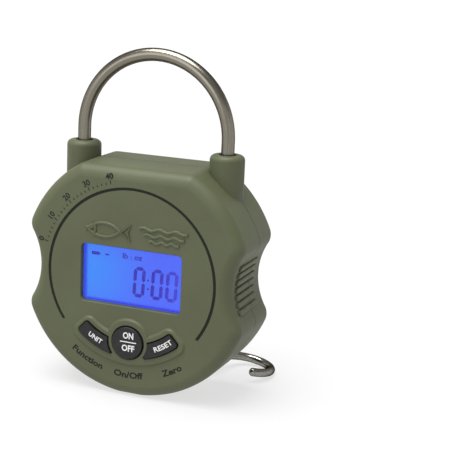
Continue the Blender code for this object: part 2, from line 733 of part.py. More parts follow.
def make_shells(shop):
    """The front and the rear shell, cut from one outer form along the parting plane."""
    blank = make_case_blank()
    additions = [make_collars(shop), make_ribs(shop), *make_pad(shop)]
    bay_block = make_bay(shop, "bay_block", BAY_WALL)
    cavity = make_cavity(shop, bay_block)
    bay = make_bay(shop, "hook_bay", 0)
    bush_seat = shop.cutter("bush_seat", cylinder(
        (0, LOAD_Y, BAY_ROOF), BUSH_RADIUS + GAP, BUSH_SEAT, "Z", 32))
    shared = [cavity, bay, bush_seat, *make_rod_holes(shop)]
    shafts, wells, pilots = make_screw_holes(shop)
    window = shop.cutter("display_window", prism(round_rectangle(
        WINDOW_WIDTH / 2 + GAP, -WINDOW_HEIGHT / 2 - GAP, WINDOW_HEIGHT / 2 + GAP,
        WINDOW_ROUND), -OVERRUN, FACE_WALL + OVERRUN))
    halves = {
        "front_shell": (box((-FAR, PARTING_Y - GAP / 2, -FAR), (FAR, FAR, FAR)),
                        [shafts, pilots, window, make_groove(shop), *make_key_holes(shop)]),
        "rear_shell": (box((-FAR, -FAR, -FAR), (FAR, PARTING_Y + GAP / 2, FAR)),
                       [shafts, wells, make_rebate(shop), *make_battery_room(shop)]),
    }
    for name, (other_half, cuts) in halves.items():
        shell = shop.part(name, blank.copy(), "olive_shell")
        for extra in additions:
            combine(shell, extra, "UNION")
        combine(shell, shop.cutter(f"{name}_limit", other_half))
        for cut in shared + cuts:
            combine(shell, cut)
        smooth(shell)
    blank.free()


def make_rebate(shop):
    """The step inside the rear shell's rim that the seal lies in."""
    return shop.cutter("seal_rebate", loft([
        (PARTING_Y - OVERRUN, case_outline(LIP)), (PARTING_Y + REBATE, case_outline(LIP))]))


def make_seals(shop):
    """Rubber strips between the shells: one down each side, and one between the collars."""
    outer, inner = case_side(SEAL_OUTER), case_side(SEAL_INNER)
    pairs = list(zip(outer, inner))
    clear = ROD_RADIUS + 2 * GAP
    stop = BAY_RADIUS + BAY_WALL + GAP
    side = [pair for pair in pairs
            if pair[0][0] > stop and not (pair[0][1] > 0 and pair[0][0] < LEG_X + clear)]
    top = [pair for pair in pairs if pair[0][1] > 0 and pair[0][0] < LEG_X - clear]
    front = PARTING_Y + GAP / 2
    back = PARTING_Y + REBATE - GAP

    def strip(name, rows):
        outline = [a for a, b in rows] + [b for a, b in reversed(rows)]
        shop.part(name, prism(outline, front, back), "seal_rubber")

    strip("case_seal_right", side)
    strip("case_seal_left", [tuple((-x, z) for x, z in pair) for pair in side])
    strip("case_seal_top", top + [tuple((-x, z) for x, z in pair) for pair in reversed(top)])


def make_case_screws(shop):
    """Screws that hold the shells together, driven from the back."""
    head_y = CASE_DEPTH - HEAD_SINK
    length = head_y - HEAD_HEIGHT - SCREW_FRONT_Y
    profile = [(0, HEAD_HEIGHT), (HEAD_RADIUS * 0.8, HEAD_HEIGHT), (HEAD_RADIUS, HEAD_HEIGHT * 0.6),
               (HEAD_RADIUS, 0), (SCREW_RADIUS, 0), (SCREW_RADIUS, -length), (0, -length)]
    blades = []
    for wide, tall in ((CROSS_REACH, CROSS_HALF), (CROSS_HALF, CROSS_REACH)):
        blades.append(box((-wide, -tall, HEAD_HEIGHT - CROSS_DEPTH),
                          (wide, tall, HEAD_HEIGHT + OVERRUN)))
    for index, (x, z) in enumerate(mirrored(BOSSES), start=1):
        at = (x, head_y - HEAD_HEIGHT, z)
        screw = turned(shop, f"case_screw_{index}", profile, "zinc_screw", at, "Y", 12)
        for turn, blade in enumerate(blades):
            cross = shop.cutter(f"cross_{index}_{turn}", blade.copy())
            cross.location = at
            cross.rotation_euler = (-math.pi / 2, 0, 0)
            combine(screw, cross)
    for blade in blades:
        blade.free()


# Display, board and keys

def make_display(shop):
    """Lens, liquid-crystal panel, light plate and the holder round them."""
    def window(grow, radius):
        return round_rectangle(WINDOW_WIDTH / 2 + grow, -WINDOW_HEIGHT / 2 - grow,
                               WINDOW_HEIGHT / 2 + grow, radius)

    flange_y = FACE_WALL + GAP
    lens = loft([(LENS_SINK, window(0, WINDOW_ROUND)), (flange_y, window(0, WINDOW_ROUND)),
                 (flange_y, window(LENS_FLANGE_WIDTH, WINDOW_ROUND)),
                 (flange_y + LENS_FLANGE, window(LENS_FLANGE_WIDTH, WINDOW_ROUND))])
    shop.part("display_lens", lens, "clear_lens")
    half_width, half_height = LCD_WIDTH / 2, LCD_HEIGHT / 2
    glass_y = flange_y + LENS_FLANGE + GAP
    layers = {"lcd_panel": (glass_y, LCD_THICKNESS, "display_blue"),
              "backlight_plate": (glass_y + LCD_THICKNESS + GAP, PLATE_THICKNESS, "diffuser")}
    for name, (front, thickness, look) in layers.items():
        low, high = (-half_width, front, -half_height), (half_width, front + thickness, half_height)
        shop.part(name, box(low, high), look)
    holder = shop.part("lcd_holder", box(
        (-half_width - HOLDER_RIM - GAP, glass_y, -half_height - HOLDER_RIM - GAP),
        (half_width + HOLDER_RIM + GAP, BOARD_FRONT - GAP, half_height + HOLDER_RIM + GAP)),
        "inner_plastic")
    combine(holder, shop.cutter("holder_opening", box(
        (-half_width - GAP, 0, -half_height - GAP),
        (half_width + GAP, BOARD_FRONT + OVERRUN, half_height + GAP))))


def make_board(shop):
    """The circuit board with its controller, and the screws that hold it."""
    board = shop.part("main_board", prism(round_rectangle(
        BOARD_HALF_WIDTH, BOARD_LOW, BOARD_HIGH, BOARD_ROUND), BOARD_FRONT, BOARD_BACK),
        "board_green")
    chip = shop.cutter("controller", box((-CHIP_HALF, BOARD_BACK - GAP, -CHIP_HALF),
                                         (CHIP_HALF, BOARD_BACK + CHIP_HEIGHT, CHIP_HALF)))
    combine(board, chip, "UNION")
    middle = (BOARD_FRONT + BOARD_BACK) / 2
    holes = [cylinder((x, middle, z), PILOT_RADIUS, 2 * OVERRUN, "Y", 12)
             for x, z in mirrored(BOARD_POSTS)]
    combine(board, shop.cutter("board_holes", merge(holes)))
    profile = [(0, BOARD_SCREW_HEIGHT), (BOARD_SCREW_CROWN, BOARD_SCREW_HEIGHT),
               (BOARD_SCREW_HEAD, 0), (BOARD_SCREW_RADIUS, 0),
               (BOARD_SCREW_RADIUS, -BOARD_SCREW_LENGTH), (0, -BOARD_SCREW_LENGTH)]
    for index, (x, z) in enumerate(mirrored(BOARD_POSTS), start=1):
        at = (x, BOARD_BACK + GAP, z)
        turned(shop, f"board_screw_{index}", profile, "zinc_screw", at, "Y", 12)


def make_keys(shop):
    """The three keys, and the switch on the board behind each."""
    flange_front = FACE_WALL + KEY_CLEAR
    shape = [(-KEY_PROUD, KEY_BEVEL), (KEY_BEVEL - KEY_PROUD, 0.0), (flange_front, 0.0),
             (flange_front, -FLANGE), (KEY_TRAVEL_END, -FLANGE)]
    power = [(y, disc((0, KEY_Z), POWER_RADIUS - inset)) for y, inset in shape]
    smooth(shop.part("power_button", loft(power), "key_rubber"), 50)
    round_end = cylinder((0, 0, KEY_Z), POWER_CLEAR, CASE_DEPTH, "Y", 40)
    guard = shop.cutter("power_space", round_end)
    for side, name in ((-1, "unit"), (1, "reset")):
        sections = [(y, side_key_outline(side, inset)) for y, inset in shape]
        key = shop.part(f"{name}_button", loft(sections), "key_rubber")
        smooth(combine(key, guard), 50)
    lean = math.radians(SWITCH_ANGLE)
    middle = (SIDE_INNER + SIDE_OUTER) / 2
    across, down = middle * math.sin(lean), -middle * math.cos(lean)
    for name, x, z in (("unit", -across, down), ("power", 0.0, KEY_Z), ("reset", across, down)):
        make_switch(shop, f"{name}_switch", x, z)


def make_switch(shop, name, x, z):
    """A push switch: a square body with a round plunger."""
    plunger_front = KEY_TRAVEL_END + SWITCH_GAP
    body_front = plunger_front + PLUNGER_PROUD
    low = (x - SWITCH_HALF, body_front, z - SWITCH_HALF)
    high = (x + SWITCH_HALF, BOARD_FRONT - GAP, z + SWITCH_HALF)
    body = shop.part(name, box(low, high), "inner_plastic")
    length = PLUNGER_PROUD + PLUNGER_ROOT
    plunger = cylinder((x, plunger_front + length / 2, z), PLUNGER_RADIUS, length, "Y", 16)
    combine(body, shop.cutter(f"{name}_plunger", plunger), "UNION")


# Handle and load beam

def make_handle(shop):
    """The bent rod, and the rubber seals where its legs enter the collars."""
    legs = [LEG_END_Z, (LEG_END_Z + ARCH_Z) / 2]
    points = [(LEG_X, LOAD_Y, z) for z in legs]
    points += [(x, LOAD_Y, z) for x, z in arc((0, ARCH_Z), LEG_X, 0, 180, 24)]
    points += [(-LEG_X, LOAD_Y, z) for z in reversed(legs)]
    rod = wire(shop, "handle_rod", points, ROD_RADIUS, "satin_steel")
    rod.data.bevel_resolution = 3
    high = COLLAR_TOP - SEAL_SINK
    for side, name in ((-1, "left"), (1, "right")):
        profile = ring_profile(ROD_RADIUS + GAP, SEAL_RADIUS, -SEAL_DEPTH, 0)
        turned(shop, f"rod_seal_{name}", profile, "seal_rubber", (side * LEG_X, LOAD_Y, high),
               steps=24, closed=True)


def make_beam(shop):
    """The load beam between the legs, with two waists that bend under load."""
    half = BEAM_SIDE / 2
    beam = shop.part("load_beam", box(
        (-BEAM_LENGTH / 2, LOAD_Y - half, BEAM_BOTTOM), (BEAM_LENGTH / 2, LOAD_Y + half, BEAM_TOP)),
        "beam_aluminium")
    holes = [cylinder((side * LEG_X, LOAD_Y, BEAM_Z), ROD_RADIUS + GAP, 2 * BEAM_SIDE, "Z", 24)
             for side in (-1, 1)]
    holes.append(cylinder((0, LOAD_Y, BEAM_Z), STEM_RADIUS + GAP, 2 * BEAM_SIDE, "Z", 24))
    combine(beam, shop.cutter("beam_holes", merge(holes)))
    windows = []
    for side in (-1, 1):
        centre = (side * FLEX_X, BEAM_Z)
        right = arc((centre[0] + FLEX_SPREAD, BEAM_Z), FLEX_RADIUS, -90, 90, 10)
        left = arc((centre[0] - FLEX_SPREAD, BEAM_Z), FLEX_RADIUS, 90, 270, 10)
        windows.append(prism(right + left, LOAD_Y - BEAM_SIDE, LOAD_Y + BEAM_SIDE))
    combine(beam, shop.cutter("beam_windows", merge(windows)))
    for side, name in ((-1, "left"), (1, "right")):
        low = (side * FLEX_X - GAUGE_LONG, LOAD_Y - GAUGE_WIDE, BEAM_TOP + GAP)
        high = (side * FLEX_X + GAUGE_LONG, LOAD_Y + GAUGE_WIDE, BEAM_TOP + GAP + GAUGE_THICKNESS)
        shop.part(f"strain_gauge_{name}", box(low, high), "gauge_foil")
        washer_top = BEAM_BOTTOM - GAP
        turned(shop, f"leg_washer_{name}",
               ring_profile(ROD_RADIUS + GAP, WASHER_RADIUS, -WASHER_HEIGHT, 0),
               "zinc_screw", (side * LEG_X, LOAD_Y, washer_top), steps=24, closed=True)
        nut_top = washer_top - WASHER_HEIGHT - GAP
        make_nut(shop, f"handle_nut_{name}", (side * LEG_X, LOAD_Y, nut_top),
                 NUT_FLATS, NUT_HEIGHT, ROD_RADIUS + GAP, shop.dial)


def make_nut(shop, name, top, flats, height, bore, parent):
    """A hexagon nut whose upper face is at top."""
    centre = (top[0], top[1], top[2] - height / 2)
    radius = flats / 2 / math.cos(math.pi / 6)
    nut = shop.part(name, cylinder(centre, radius, height, "Z", 6), "zinc_screw", parent)
    hole = cylinder(centre, bore, height * 2, "Z", 24)
    combine(nut, shop.cutter(f"{name}_bore", hole, parent))


# Swivel and hook

def make_swivel(shop):
    """The swivel bolt with its clevis, the nut on the beam, and the bush in the bay's roof."""
    washer_low = BEAM_TOP + GAP
    turned(shop, "thrust_washer",
           ring_profile(STEM_RADIUS + GAP, THRUST_RADIUS, 0, WASHER_HEIGHT),
           "zinc_screw", (0, LOAD_Y, washer_low), steps=20, closed=True)
    nut_top = washer_low + WASHER_HEIGHT + GAP + SWIVEL_NUT_HEIGHT
    make_nut(shop, "swivel_nut", (0, 0, nut_top), SWIVEL_NUT_FLATS, SWIVEL_NUT_HEIGHT,
             STEM_RADIUS + GAP, shop.swivel)
    sleeve = [(STEM_RADIUS + GAP, BUSH_TOP), (BUSH_FLANGE, BUSH_TOP), (BUSH_FLANGE, GAP),
              (BUSH_RADIUS, GAP), (BUSH_RADIUS, -BAY_WALL), (STEM_RADIUS + GAP, -BAY_WALL)]
    turned(shop, "stem_bush", sleeve, "bush_nylon", (0, LOAD_Y, BAY_ROOF + BAY_WALL),
           steps=20, closed=True)
    slot_half = EYE_WIDTH / 2 + GAP
    half_width = slot_half + EAR_THICKNESS
    block = arc((0, PIN_Z), CLEVIS_RADIUS, -180, 0, 16)
    block += [(CLEVIS_RADIUS, CLEVIS_TOP), (-CLEVIS_RADIUS, CLEVIS_TOP)]
    bm = prism(block, -half_width, half_width)
    turn = Matrix.Rotation(math.pi / 2, 4, "Z")
    bmesh.ops.transform(bm, matrix=turn, verts=bm.verts)
    clevis = shop.part("swivel_bolt", bm, "hook_steel", shop.swivel)
    deep = 2 * CLEVIS_RADIUS
    slot = box((-slot_half, -deep, PIN_Z - deep), (slot_half, deep, PIN_Z + EYE_RADIUS + 2 * GAP))
    combine(clevis, shop.cutter("clevis_slot", slot, shop.swivel))
    stem_low = CLEVIS_TOP - GAP
    stem_high = nut_top + STEM_PROUD
    stem = cylinder((0, 0, (stem_low + stem_high) / 2), STEM_RADIUS, stem_high - stem_low, "Z", 24)
    combine(clevis, shop.cutter("swivel_stem", stem, shop.swivel), "UNION")
    hole = cylinder((0, 0, PIN_Z), PIN_RADIUS + GAP, 4 * half_width, "X", 20)
    combine(clevis, shop.cutter("clevis_hole", hole, shop.swivel))
    end = half_width + GAP
    outer = end + PIN_HEAD_HEIGHT
    profile = [(0, outer), (PIN_HEAD, outer), (PIN_HEAD, end), (PIN_RADIUS, end),
               (PIN_RADIUS, -end), (PIN_HEAD, -end), (PIN_HEAD, -outer), (0, -outer)]
    turned(shop, "hook_pin", profile, "hook_steel", (0, 0, PIN_Z), "X", 20, shop.swivel)


def hook_points():
    """The wire's centreline, from the eye along +Y to the bowl and round it."""
    first = EYE_RADIUS * 0.5
    bend = HOOK_LENGTH * SHANK_STRAIGHT
    points = [(0, first, 0), (0, (first + bend) / 2, 0)]
    for i in range(SHANK_STEPS):
        share = i / SHANK_STEPS
        offset = BOWL_RADIUS * (1 - math.cos(math.pi * share)) / 2
        points.append((-offset, bend + (HOOK_LENGTH - bend) * share, 0))
    bowl = arc((0, HOOK_LENGTH), BOWL_RADIUS, 180, TIP_ANGLE, 19)
    return points + [(x, y, 0) for x, y in bowl]


def make_hook(shop):
    """The hook: one round wire from a drilled eye, bent to a bowl with a blunt tip."""
    raw = wire(shop, "hook_wire", hook_points(), WIRE_RADIUS, "hook_steel", shop.fold,
               taper=(1.0, 0.9, 0.55))
    bpy.context.view_layer.update()
    hook = wire_as_mesh(shop, raw, "hook", "hook_steel", shop.fold)
    eye = cylinder((0, 0, 0), EYE_RADIUS, EYE_WIDTH, "X", 28)
    combine(hook, shop.cutter("hook_eye", eye, shop.fold), "UNION")
    hole = cylinder((0, 0, 0), PIN_RADIUS + GAP, 4 * EYE_WIDTH, "X", 20)
    combine(hook, shop.cutter("hook_eye_hole", hole, shop.fold))
    smooth(hook, 50)


# Battery box

def make_door(shop):
    """The battery door, which turns on stubs in its round lower edge."""
    top = DOOR_HIGH - DOOR_LOW - DOOR_BARREL
    edge = arc((0, 0), DOOR_BARREL, 180, 360, 8)
    section = edge + [(DOOR_BARREL, top), (-DOOR_BARREL, top)]
    bm = prism(section, -DOOR_HALF_WIDTH, DOOR_HALF_WIDTH)
    bmesh.ops.transform(bm, matrix=Matrix.Rotation(math.pi / 2, 4, "Z"), verts=bm.verts)
    door = shop.part("battery_door", bm, "olive_shell", shop.door)
    length = 2 * (DOOR_HALF_WIDTH + STUB_LENGTH)
    stubs = cylinder((0, 0, 0), STUB_RADIUS, length, "X", 12)
    combine(door, shop.cutter("door_stubs", stubs, shop.door), "UNION")
    lip_top = LATCH_TOP - DOOR_LOW - DOOR_BARREL
    lip = box((-LATCH_HALF_WIDTH, -DOOR_BARREL - LATCH_REACH, lip_top - LATCH_HEIGHT),
              (LATCH_HALF_WIDTH, -DOOR_BARREL / 2, lip_top))
    combine(door, shop.cutter("door_latch", lip, shop.door), "UNION")


def make_cells(shop):
    """Two AAA cells laid opposite ways, with their springs and contact plates."""
    half = CELL_LENGTH / 2
    profile = [(0, half + CELL_NUB), (NUB_RADIUS, half + CELL_NUB), (NUB_RADIUS, half),
               (CELL_RADIUS - CELL_EDGE, half), (CELL_RADIUS, half - CELL_EDGE),
               (CELL_RADIUS, -half), (0, -half)]
    plate = BOX_HALF_WIDTH - GAP
    for (name, z), side in zip(CELL_ZS.items(), (1, -1)):
        cell = turned(shop, f"battery_{name}", profile, "cell_wrap",
                      (-side * CELL_NUB / 2, CELL_Y, z), "X", 20)
        if side < 0:
            cell.rotation_euler = (0, -math.pi / 2, 0)
        make_spring(shop, f"battery_spring_{name}", -side, half + CELL_NUB, z)
    upper, lower = CELL_ZS["upper"], CELL_ZS["lower"]
    for name, side, low, high in (("contact_link", 1, lower, upper),
                                  ("contact_upper", -1, upper, upper),
                                  ("contact_lower", -1, lower, lower)):
        inner, outer = side * (plate - CONTACT_THICKNESS), side * plate
        shop.part(name, box(
            (min(inner, outer), CELL_Y - CONTACT_HALF, low - CONTACT_HALF),
            (max(inner, outer), CELL_Y + CONTACT_HALF, high + CONTACT_HALF)), "contact_nickel")


def make_spring(shop, name, side, start, z):
    """A short conical spring between a cell's flat end and its contact plate."""
    count = int(SPRING_TURNS * SPRING_STEPS)
    length = BOX_HALF_WIDTH - start - SPRING_SLACK
    points = []
    for i in range(count + 1):
        share = i / count
        angle = 2 * math.pi * SPRING_TURNS * share
        radius = SPRING_INNER + SPRING_GROWTH * share
        points.append((side * (start + SPRING_WIRE + length * share),
                       CELL_Y + radius * math.cos(angle), z + radius * math.sin(angle)))
    spring = wire(shop, name, points, SPRING_WIRE, "contact_nickel")
    spring.data.bevel_resolution = 1


def make_leads(shop):
    """The leads from the battery box and from the load beam to the board."""
    outside = -BLOCK_HALF_WIDTH - 2 * GAP
    start = (outside - LEAD_RADIUS, LEAD_START_Y)
    end = (outside + LEAD_BOW, BOARD_BACK + 2 * GAP)
    for name, z in LEAD_ZS.items():
        points = []
        for i in range(13):
            share = i / 12
            ease = share * share * (3 - 2 * share)
            bow = LEAD_BOW * math.sin(math.pi * share)
            points.append((start[0] + (end[0] - start[0]) * ease - bow,
                           start[1] + (end[1] - start[1]) * share, z))
        wire(shop, f"battery_lead_{name}", points, LEAD_RADIUS, f"{name}_lead")
    start_y = LOAD_Y - BEAM_SIDE / 2 - 2 * GAP
    way = BOARD_BACK + 2 * GAP - start_y
    points = []
    for i in range(9):
        share = i / 8
        rise = LEAD_BOW * math.sin(math.pi * share)
        points.append((-FLEX_X, start_y + way * share, BEAM_TOP + rise))
    wire(shop, "gauge_lead", points, LEAD_RADIUS, "black_lead")


def main():
    """Build the fish scale."""
    shop = Workshop()
    make_shells(shop)
    make_seals(shop)
    make_case_screws(shop)
    make_display(shop)
    make_board(shop)
    make_keys(shop)
    make_handle(shop)
    make_beam(shop)
    make_swivel(shop)
    make_hook(shop)
    make_door(shop)
    make_cells(shop)
    make_leads(shop)


main()
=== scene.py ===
"""Looks of the digital fish scale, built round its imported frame.

Each sub-assembly is a class that builds its meshes, dresses them and hands them to the body
that they move with. Pieces are drawn in the dial's own frame, whose origin is the centre of the
round face, or in the frame of the hook's pin or of the battery door, and are then placed.
"""
import json
import logging
import math
from dataclasses import dataclass
from enum import Enum
from typing import Callable, Iterable, Mapping, Sequence

import bmesh
import bpy
from mathutils import Matrix, Vector


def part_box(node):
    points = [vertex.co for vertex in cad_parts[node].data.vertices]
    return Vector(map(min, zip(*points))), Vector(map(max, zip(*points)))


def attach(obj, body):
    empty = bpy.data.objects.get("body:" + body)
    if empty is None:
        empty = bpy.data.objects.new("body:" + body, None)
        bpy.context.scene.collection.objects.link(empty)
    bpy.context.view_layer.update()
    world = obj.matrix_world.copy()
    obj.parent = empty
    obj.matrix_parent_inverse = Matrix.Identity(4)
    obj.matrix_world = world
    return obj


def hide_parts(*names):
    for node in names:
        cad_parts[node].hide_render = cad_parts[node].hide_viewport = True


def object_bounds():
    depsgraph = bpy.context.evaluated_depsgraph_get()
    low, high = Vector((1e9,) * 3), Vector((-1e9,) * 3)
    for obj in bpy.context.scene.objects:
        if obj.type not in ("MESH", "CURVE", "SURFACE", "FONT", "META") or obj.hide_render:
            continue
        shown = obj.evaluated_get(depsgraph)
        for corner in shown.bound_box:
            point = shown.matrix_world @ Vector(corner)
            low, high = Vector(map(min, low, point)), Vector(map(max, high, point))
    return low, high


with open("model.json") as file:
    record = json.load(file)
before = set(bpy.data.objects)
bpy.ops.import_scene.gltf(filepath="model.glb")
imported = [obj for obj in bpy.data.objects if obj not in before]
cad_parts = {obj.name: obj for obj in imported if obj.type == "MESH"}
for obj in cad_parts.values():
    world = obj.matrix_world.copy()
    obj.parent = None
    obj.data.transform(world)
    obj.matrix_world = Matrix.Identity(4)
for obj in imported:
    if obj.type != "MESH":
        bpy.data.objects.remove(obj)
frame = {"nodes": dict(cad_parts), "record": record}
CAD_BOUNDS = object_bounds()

LOG = logging.getLogger("fish_scale")

MM = 0.001
OVERRUN = 2 * MM  # how far a cutter runs past what it cuts
FAR = 90 * MM  # farther out than any side of the case
TOUCH = 1e-6  # points closer than this along an axis are level
WELD = 1e-7  # points closer than this are one
Point = tuple[float, float]
Outline = list[Point]
Colour = tuple[float, float, float]
Value = "Signal | float | tuple[float, ...]"


class Body(Enum):
    """The moving bodies that pieces ride on."""

    CASE = "case"
    SWIVEL = "swivel"
    HOOK = "hook"
    UNIT_KEY = "unit_key"
    POWER_KEY = "power_key"
    RESET_KEY = "reset_key"
    LID = "battery_lid"


# ---------------------------------------------------------------- shader graph

class Signal:
    """A shader socket that Python's arithmetic works on."""

    def __init__(self, graph: "Graph", socket: bpy.types.NodeSocket) -> None:
        """Wrap one output socket of a graph."""
        self.graph = graph
        self.socket = socket

    def _math(self, operation: str, first: Value, second: Value = 0.0) -> "Signal":
        """Add one Math node."""
        node = self.graph.node("ShaderNodeMath", {"operation": operation}, {0: first, 1: second})
        return Signal(self.graph, node.outputs[0])

    def __add__(self, other: Value) -> "Signal":
        """Sum."""
        return self._math("ADD", self, other)

    def __sub__(self, other: Value) -> "Signal":
        """Difference."""
        return self._math("SUBTRACT", self, other)

    def __rsub__(self, other: Value) -> "Signal":
        """Difference with a number on the left."""
        return self._math("SUBTRACT", other, self)

    def __mul__(self, other: Value) -> "Signal":
        """Product."""
        return self._math("MULTIPLY", self, other)

    def __truediv__(self, other: Value) -> "Signal":
        """Quotient."""
        return self._math("DIVIDE", self, other)

    def __pow__(self, other: Value) -> "Signal":
        """Power."""
        return self._math("POWER", self, other)

    __radd__ = __add__
    __rmul__ = __mul__

    def size(self) -> "Signal":
        """Absolute value."""
        return self._math("ABSOLUTE", self)

    def most(self, other: Value) -> "Signal":
        """The larger of two."""
        return self._math("MAXIMUM", self, other)

    def rise(self, low: float, high: float) -> "Signal":
        """A smooth 0 to 1 as the value goes from low to high.

        Args:
            low: The value that gives 0.
            high: The value that gives 1.

        Returns:
            The ramp.
        """
        node = self.graph.node("ShaderNodeMapRange", {"interpolation_type": "SMOOTHSTEP"},
                               {"Value": self, "From Min": low, "From Max": high})
        return Signal(self.graph, node.outputs[0])


class Graph:
    """One material's nodes, ending in a Principled shader."""

    def __init__(self, name: str) -> None:
        """Start a material.

        Args:
            name: The material's name.
        """
        self.material = bpy.data.materials.new(name)
        self.adopt(self.material, "Principled BSDF")

    def adopt(self, owner: bpy.types.Material | bpy.types.World, shader: str) -> None:
        """Work on the nodes of an owner, ending in its shader of that name.

        Args:
            owner: A material or a world.
            shader: Its last shader's name.
        """
        owner.use_nodes = True
        self.tree = owner.node_tree
        self.shader = self.tree.nodes[shader]

    def node(self, kind: str, settings: Mapping[str, object] | None = None,
             inputs: Mapping[str | int, Value] | None = None) -> bpy.types.Node:
        """Make one node: its settings first, then the values or links of its sockets.

        Args:
            kind: The node's type.
            settings: Its properties.
            inputs: Socket names or numbers and what each takes.

        Returns:
            The new node.
        """
        made = self.tree.nodes.new(kind)
        for key, value in (settings or {}).items():
            setattr(made, key, value)
        for key, value in (inputs or {}).items():
            self.feed(made.inputs[key], value)
        return made

    def feed(self, socket: bpy.types.NodeSocket, value: Value) -> None:
        """Link a signal to a socket, or set the socket's own value.

        Args:
            socket: An input socket.
            value: A signal, a number, a vector or a colour.
        """
        if isinstance(value, Signal):
            self.tree.links.new(value.socket, socket)
        elif socket.type == "RGBA" and len(value) == 3:
            socket.default_value = (*value, 1.0)
        else:
            socket.default_value = value

    def set(self, **inputs: Value) -> None:
        """Set sockets of the shader, underscores standing for spaces."""
        for key, value in inputs.items():
            self.feed(self.shader.inputs[key.replace("_", " ")], value)

    def place(self, stretch: tuple[float, float, float] = (1.0, 1.0, 1.0)) -> Signal:
        """Object coordinates in millimetres, stretched along each axis.

        Args:
            stretch: How many times finer a pattern gets along each axis.

        Returns:
            The coordinates.
        """
        where = self.node("ShaderNodeTexCoord")
        scale = tuple(part / MM for part in stretch)
        node = self.node("ShaderNodeMapping", {}, {
            "Vector": Signal(self, where.outputs["Object"]), "Scale": scale})
        return Signal(self, node.outputs[0])

    def axes(self, where: Signal) -> tuple[Signal, Signal, Signal]:
        """A vector's three parts."""
        node = self.node("ShaderNodeSeparateXYZ", {}, {0: where})
        return tuple(Signal(self, out) for out in node.outputs)

    def vector(self, x: Value, y: Value, z: Value) -> Signal:
        """A vector from three parts."""
        node = self.node("ShaderNodeCombineXYZ", {}, {0: x, 1: y, 2: z})
        return Signal(self, node.outputs[0])

    def noise(self, where: Signal, scale: float, detail: float = 2.0, rough: float = 0.5) -> Signal:
        """Fractal noise.

        Args:
            where: The coordinates that it reads.
            scale: Features to the millimetre.
            detail: How many finer layers it has.
            rough: How strong those layers are.

        Returns:
            A value from 0 to 1.
        """
        node = self.node("ShaderNodeTexNoise", {}, {
            "Vector": where, "Scale": scale, "Detail": detail, "Roughness": rough})
        return Signal(self, node.outputs["Fac"])

    def cells(self, where: Signal, scale: float) -> Signal:
        """Distance to the nearest point of a scatter."""
        node = self.node("ShaderNodeTexVoronoi", {}, {"Vector": where, "Scale": scale})
        return Signal(self, node.outputs["Distance"])

    def mix(self, share: Value, first: Value, second: Value) -> Signal:
        """Blend two colours."""
        node = self.node("ShaderNodeMix", {"data_type": "RGBA"}, {0: share, 6: first, 7: second})
        return Signal(self, node.outputs[2])

    def bump(self, height: Signal, strength: float, depth: float) -> None:
        """Drive the shader's normal from a height.

        Args:
            height: The height, from 0 to 1.
            strength: How much of it shows.
            depth: Metres at full height.
        """
        node = self.node("ShaderNodeBump", {}, {
            "Strength": strength, "Distance": depth, "Height": height})
        self.set(Normal=Signal(self, node.outputs[0]))


class Surroundings(Graph):
    """The light all round: bright along the horizon and dimmer overhead."""

    def __init__(self, name: str, low: float, high: float) -> None:
        """Light the world.

        Args:
            name: The world's name.
            low: Its strength along the horizon.
            high: Its strength overhead.
        """
        self.world = bpy.data.worlds.new(name)
        self.adopt(self.world, "Background")
        where = self.node("ShaderNodeTexCoord")
        _, _, up = self.axes(Signal(self, where.outputs["Generated"]))
        self.set(Color=(1.0, 1.0, 1.0), Strength=up.rise(0.12, 0.62) * (high - low) + low)
        bpy.context.scene.world = self.world


# ---------------------------------------------------------------- finishes

@dataclass(frozen=True)
class Finish:
    """A named finish that makes one material."""

    name: str

    def make(self) -> bpy.types.Material:
        """Build the material.

        Returns:
            The material.
        """
        graph = Graph(self.name)
        self.paint(graph)
        return graph.material

    def paint(self, graph: Graph) -> None:
        """Lay the nodes, which is each finish's own work."""
        raise NotImplementedError


@dataclass(frozen=True)
class MouldedShell(Finish):
    """Soft-touch moulded plastic with a fine spark-eroded grain."""

    name: str = "olive_moulding"
    colour: Colour = (0.065, 0.0735, 0.0345)
    worn: Colour = (0.098, 0.108, 0.060)
    grain: float = 3.2
    roughness: float = 0.56

    def paint(self, graph: Graph) -> None:
        """Lay the nodes."""
        where = graph.place()
        mottle = graph.noise(where, 0.035, 3.0)
        speck = graph.noise(where, self.grain, 3.0, 0.65)
        scuffs = graph.noise(graph.place((0.25, 0.25, 1.6)), 0.55, 4.0, 0.7).rise(0.58, 0.74)
        tone = graph.mix(mottle.rise(0.3, 0.7), tuple(0.94 * c for c in self.colour),
                         tuple(1.06 * c for c in self.colour))
        tone = graph.mix(speck.rise(0.45, 0.8) * 0.16, tone, self.worn)
        tone = graph.mix(scuffs * 0.12, tone, self.worn)
        graph.set(Base_Color=tone, Roughness=speck * 0.12 + (self.roughness - 0.06) - scuffs * 0.05)
        graph.set(Specular_IOR_Level=0.4)
        graph.bump(speck + graph.cells(where, self.grain * 0.8) * 0.5, 0.22, 0.00004)


@dataclass(frozen=True)
class Rubber(Finish):
    """Moulded rubber, with dust in its grain."""

    colour: Colour
    roughness: float

    def paint(self, graph: Graph) -> None:
        """Lay the nodes."""
        where = graph.place()
        speck = graph.noise(where, 4.0, 2.0, 0.6)
        cloud = graph.noise(where, 0.25, 3.0)
        dusty = tuple(c * 1.7 + 0.006 for c in self.colour)
        graph.set(Base_Color=graph.mix(cloud.rise(0.4, 0.75) * 0.6, self.colour, dusty),
                  Roughness=cloud * 0.14 + speck * 0.08 + (self.roughness - 0.1),
                  Specular_IOR_Level=0.3)
        graph.bump(speck, 0.18, 0.00003)


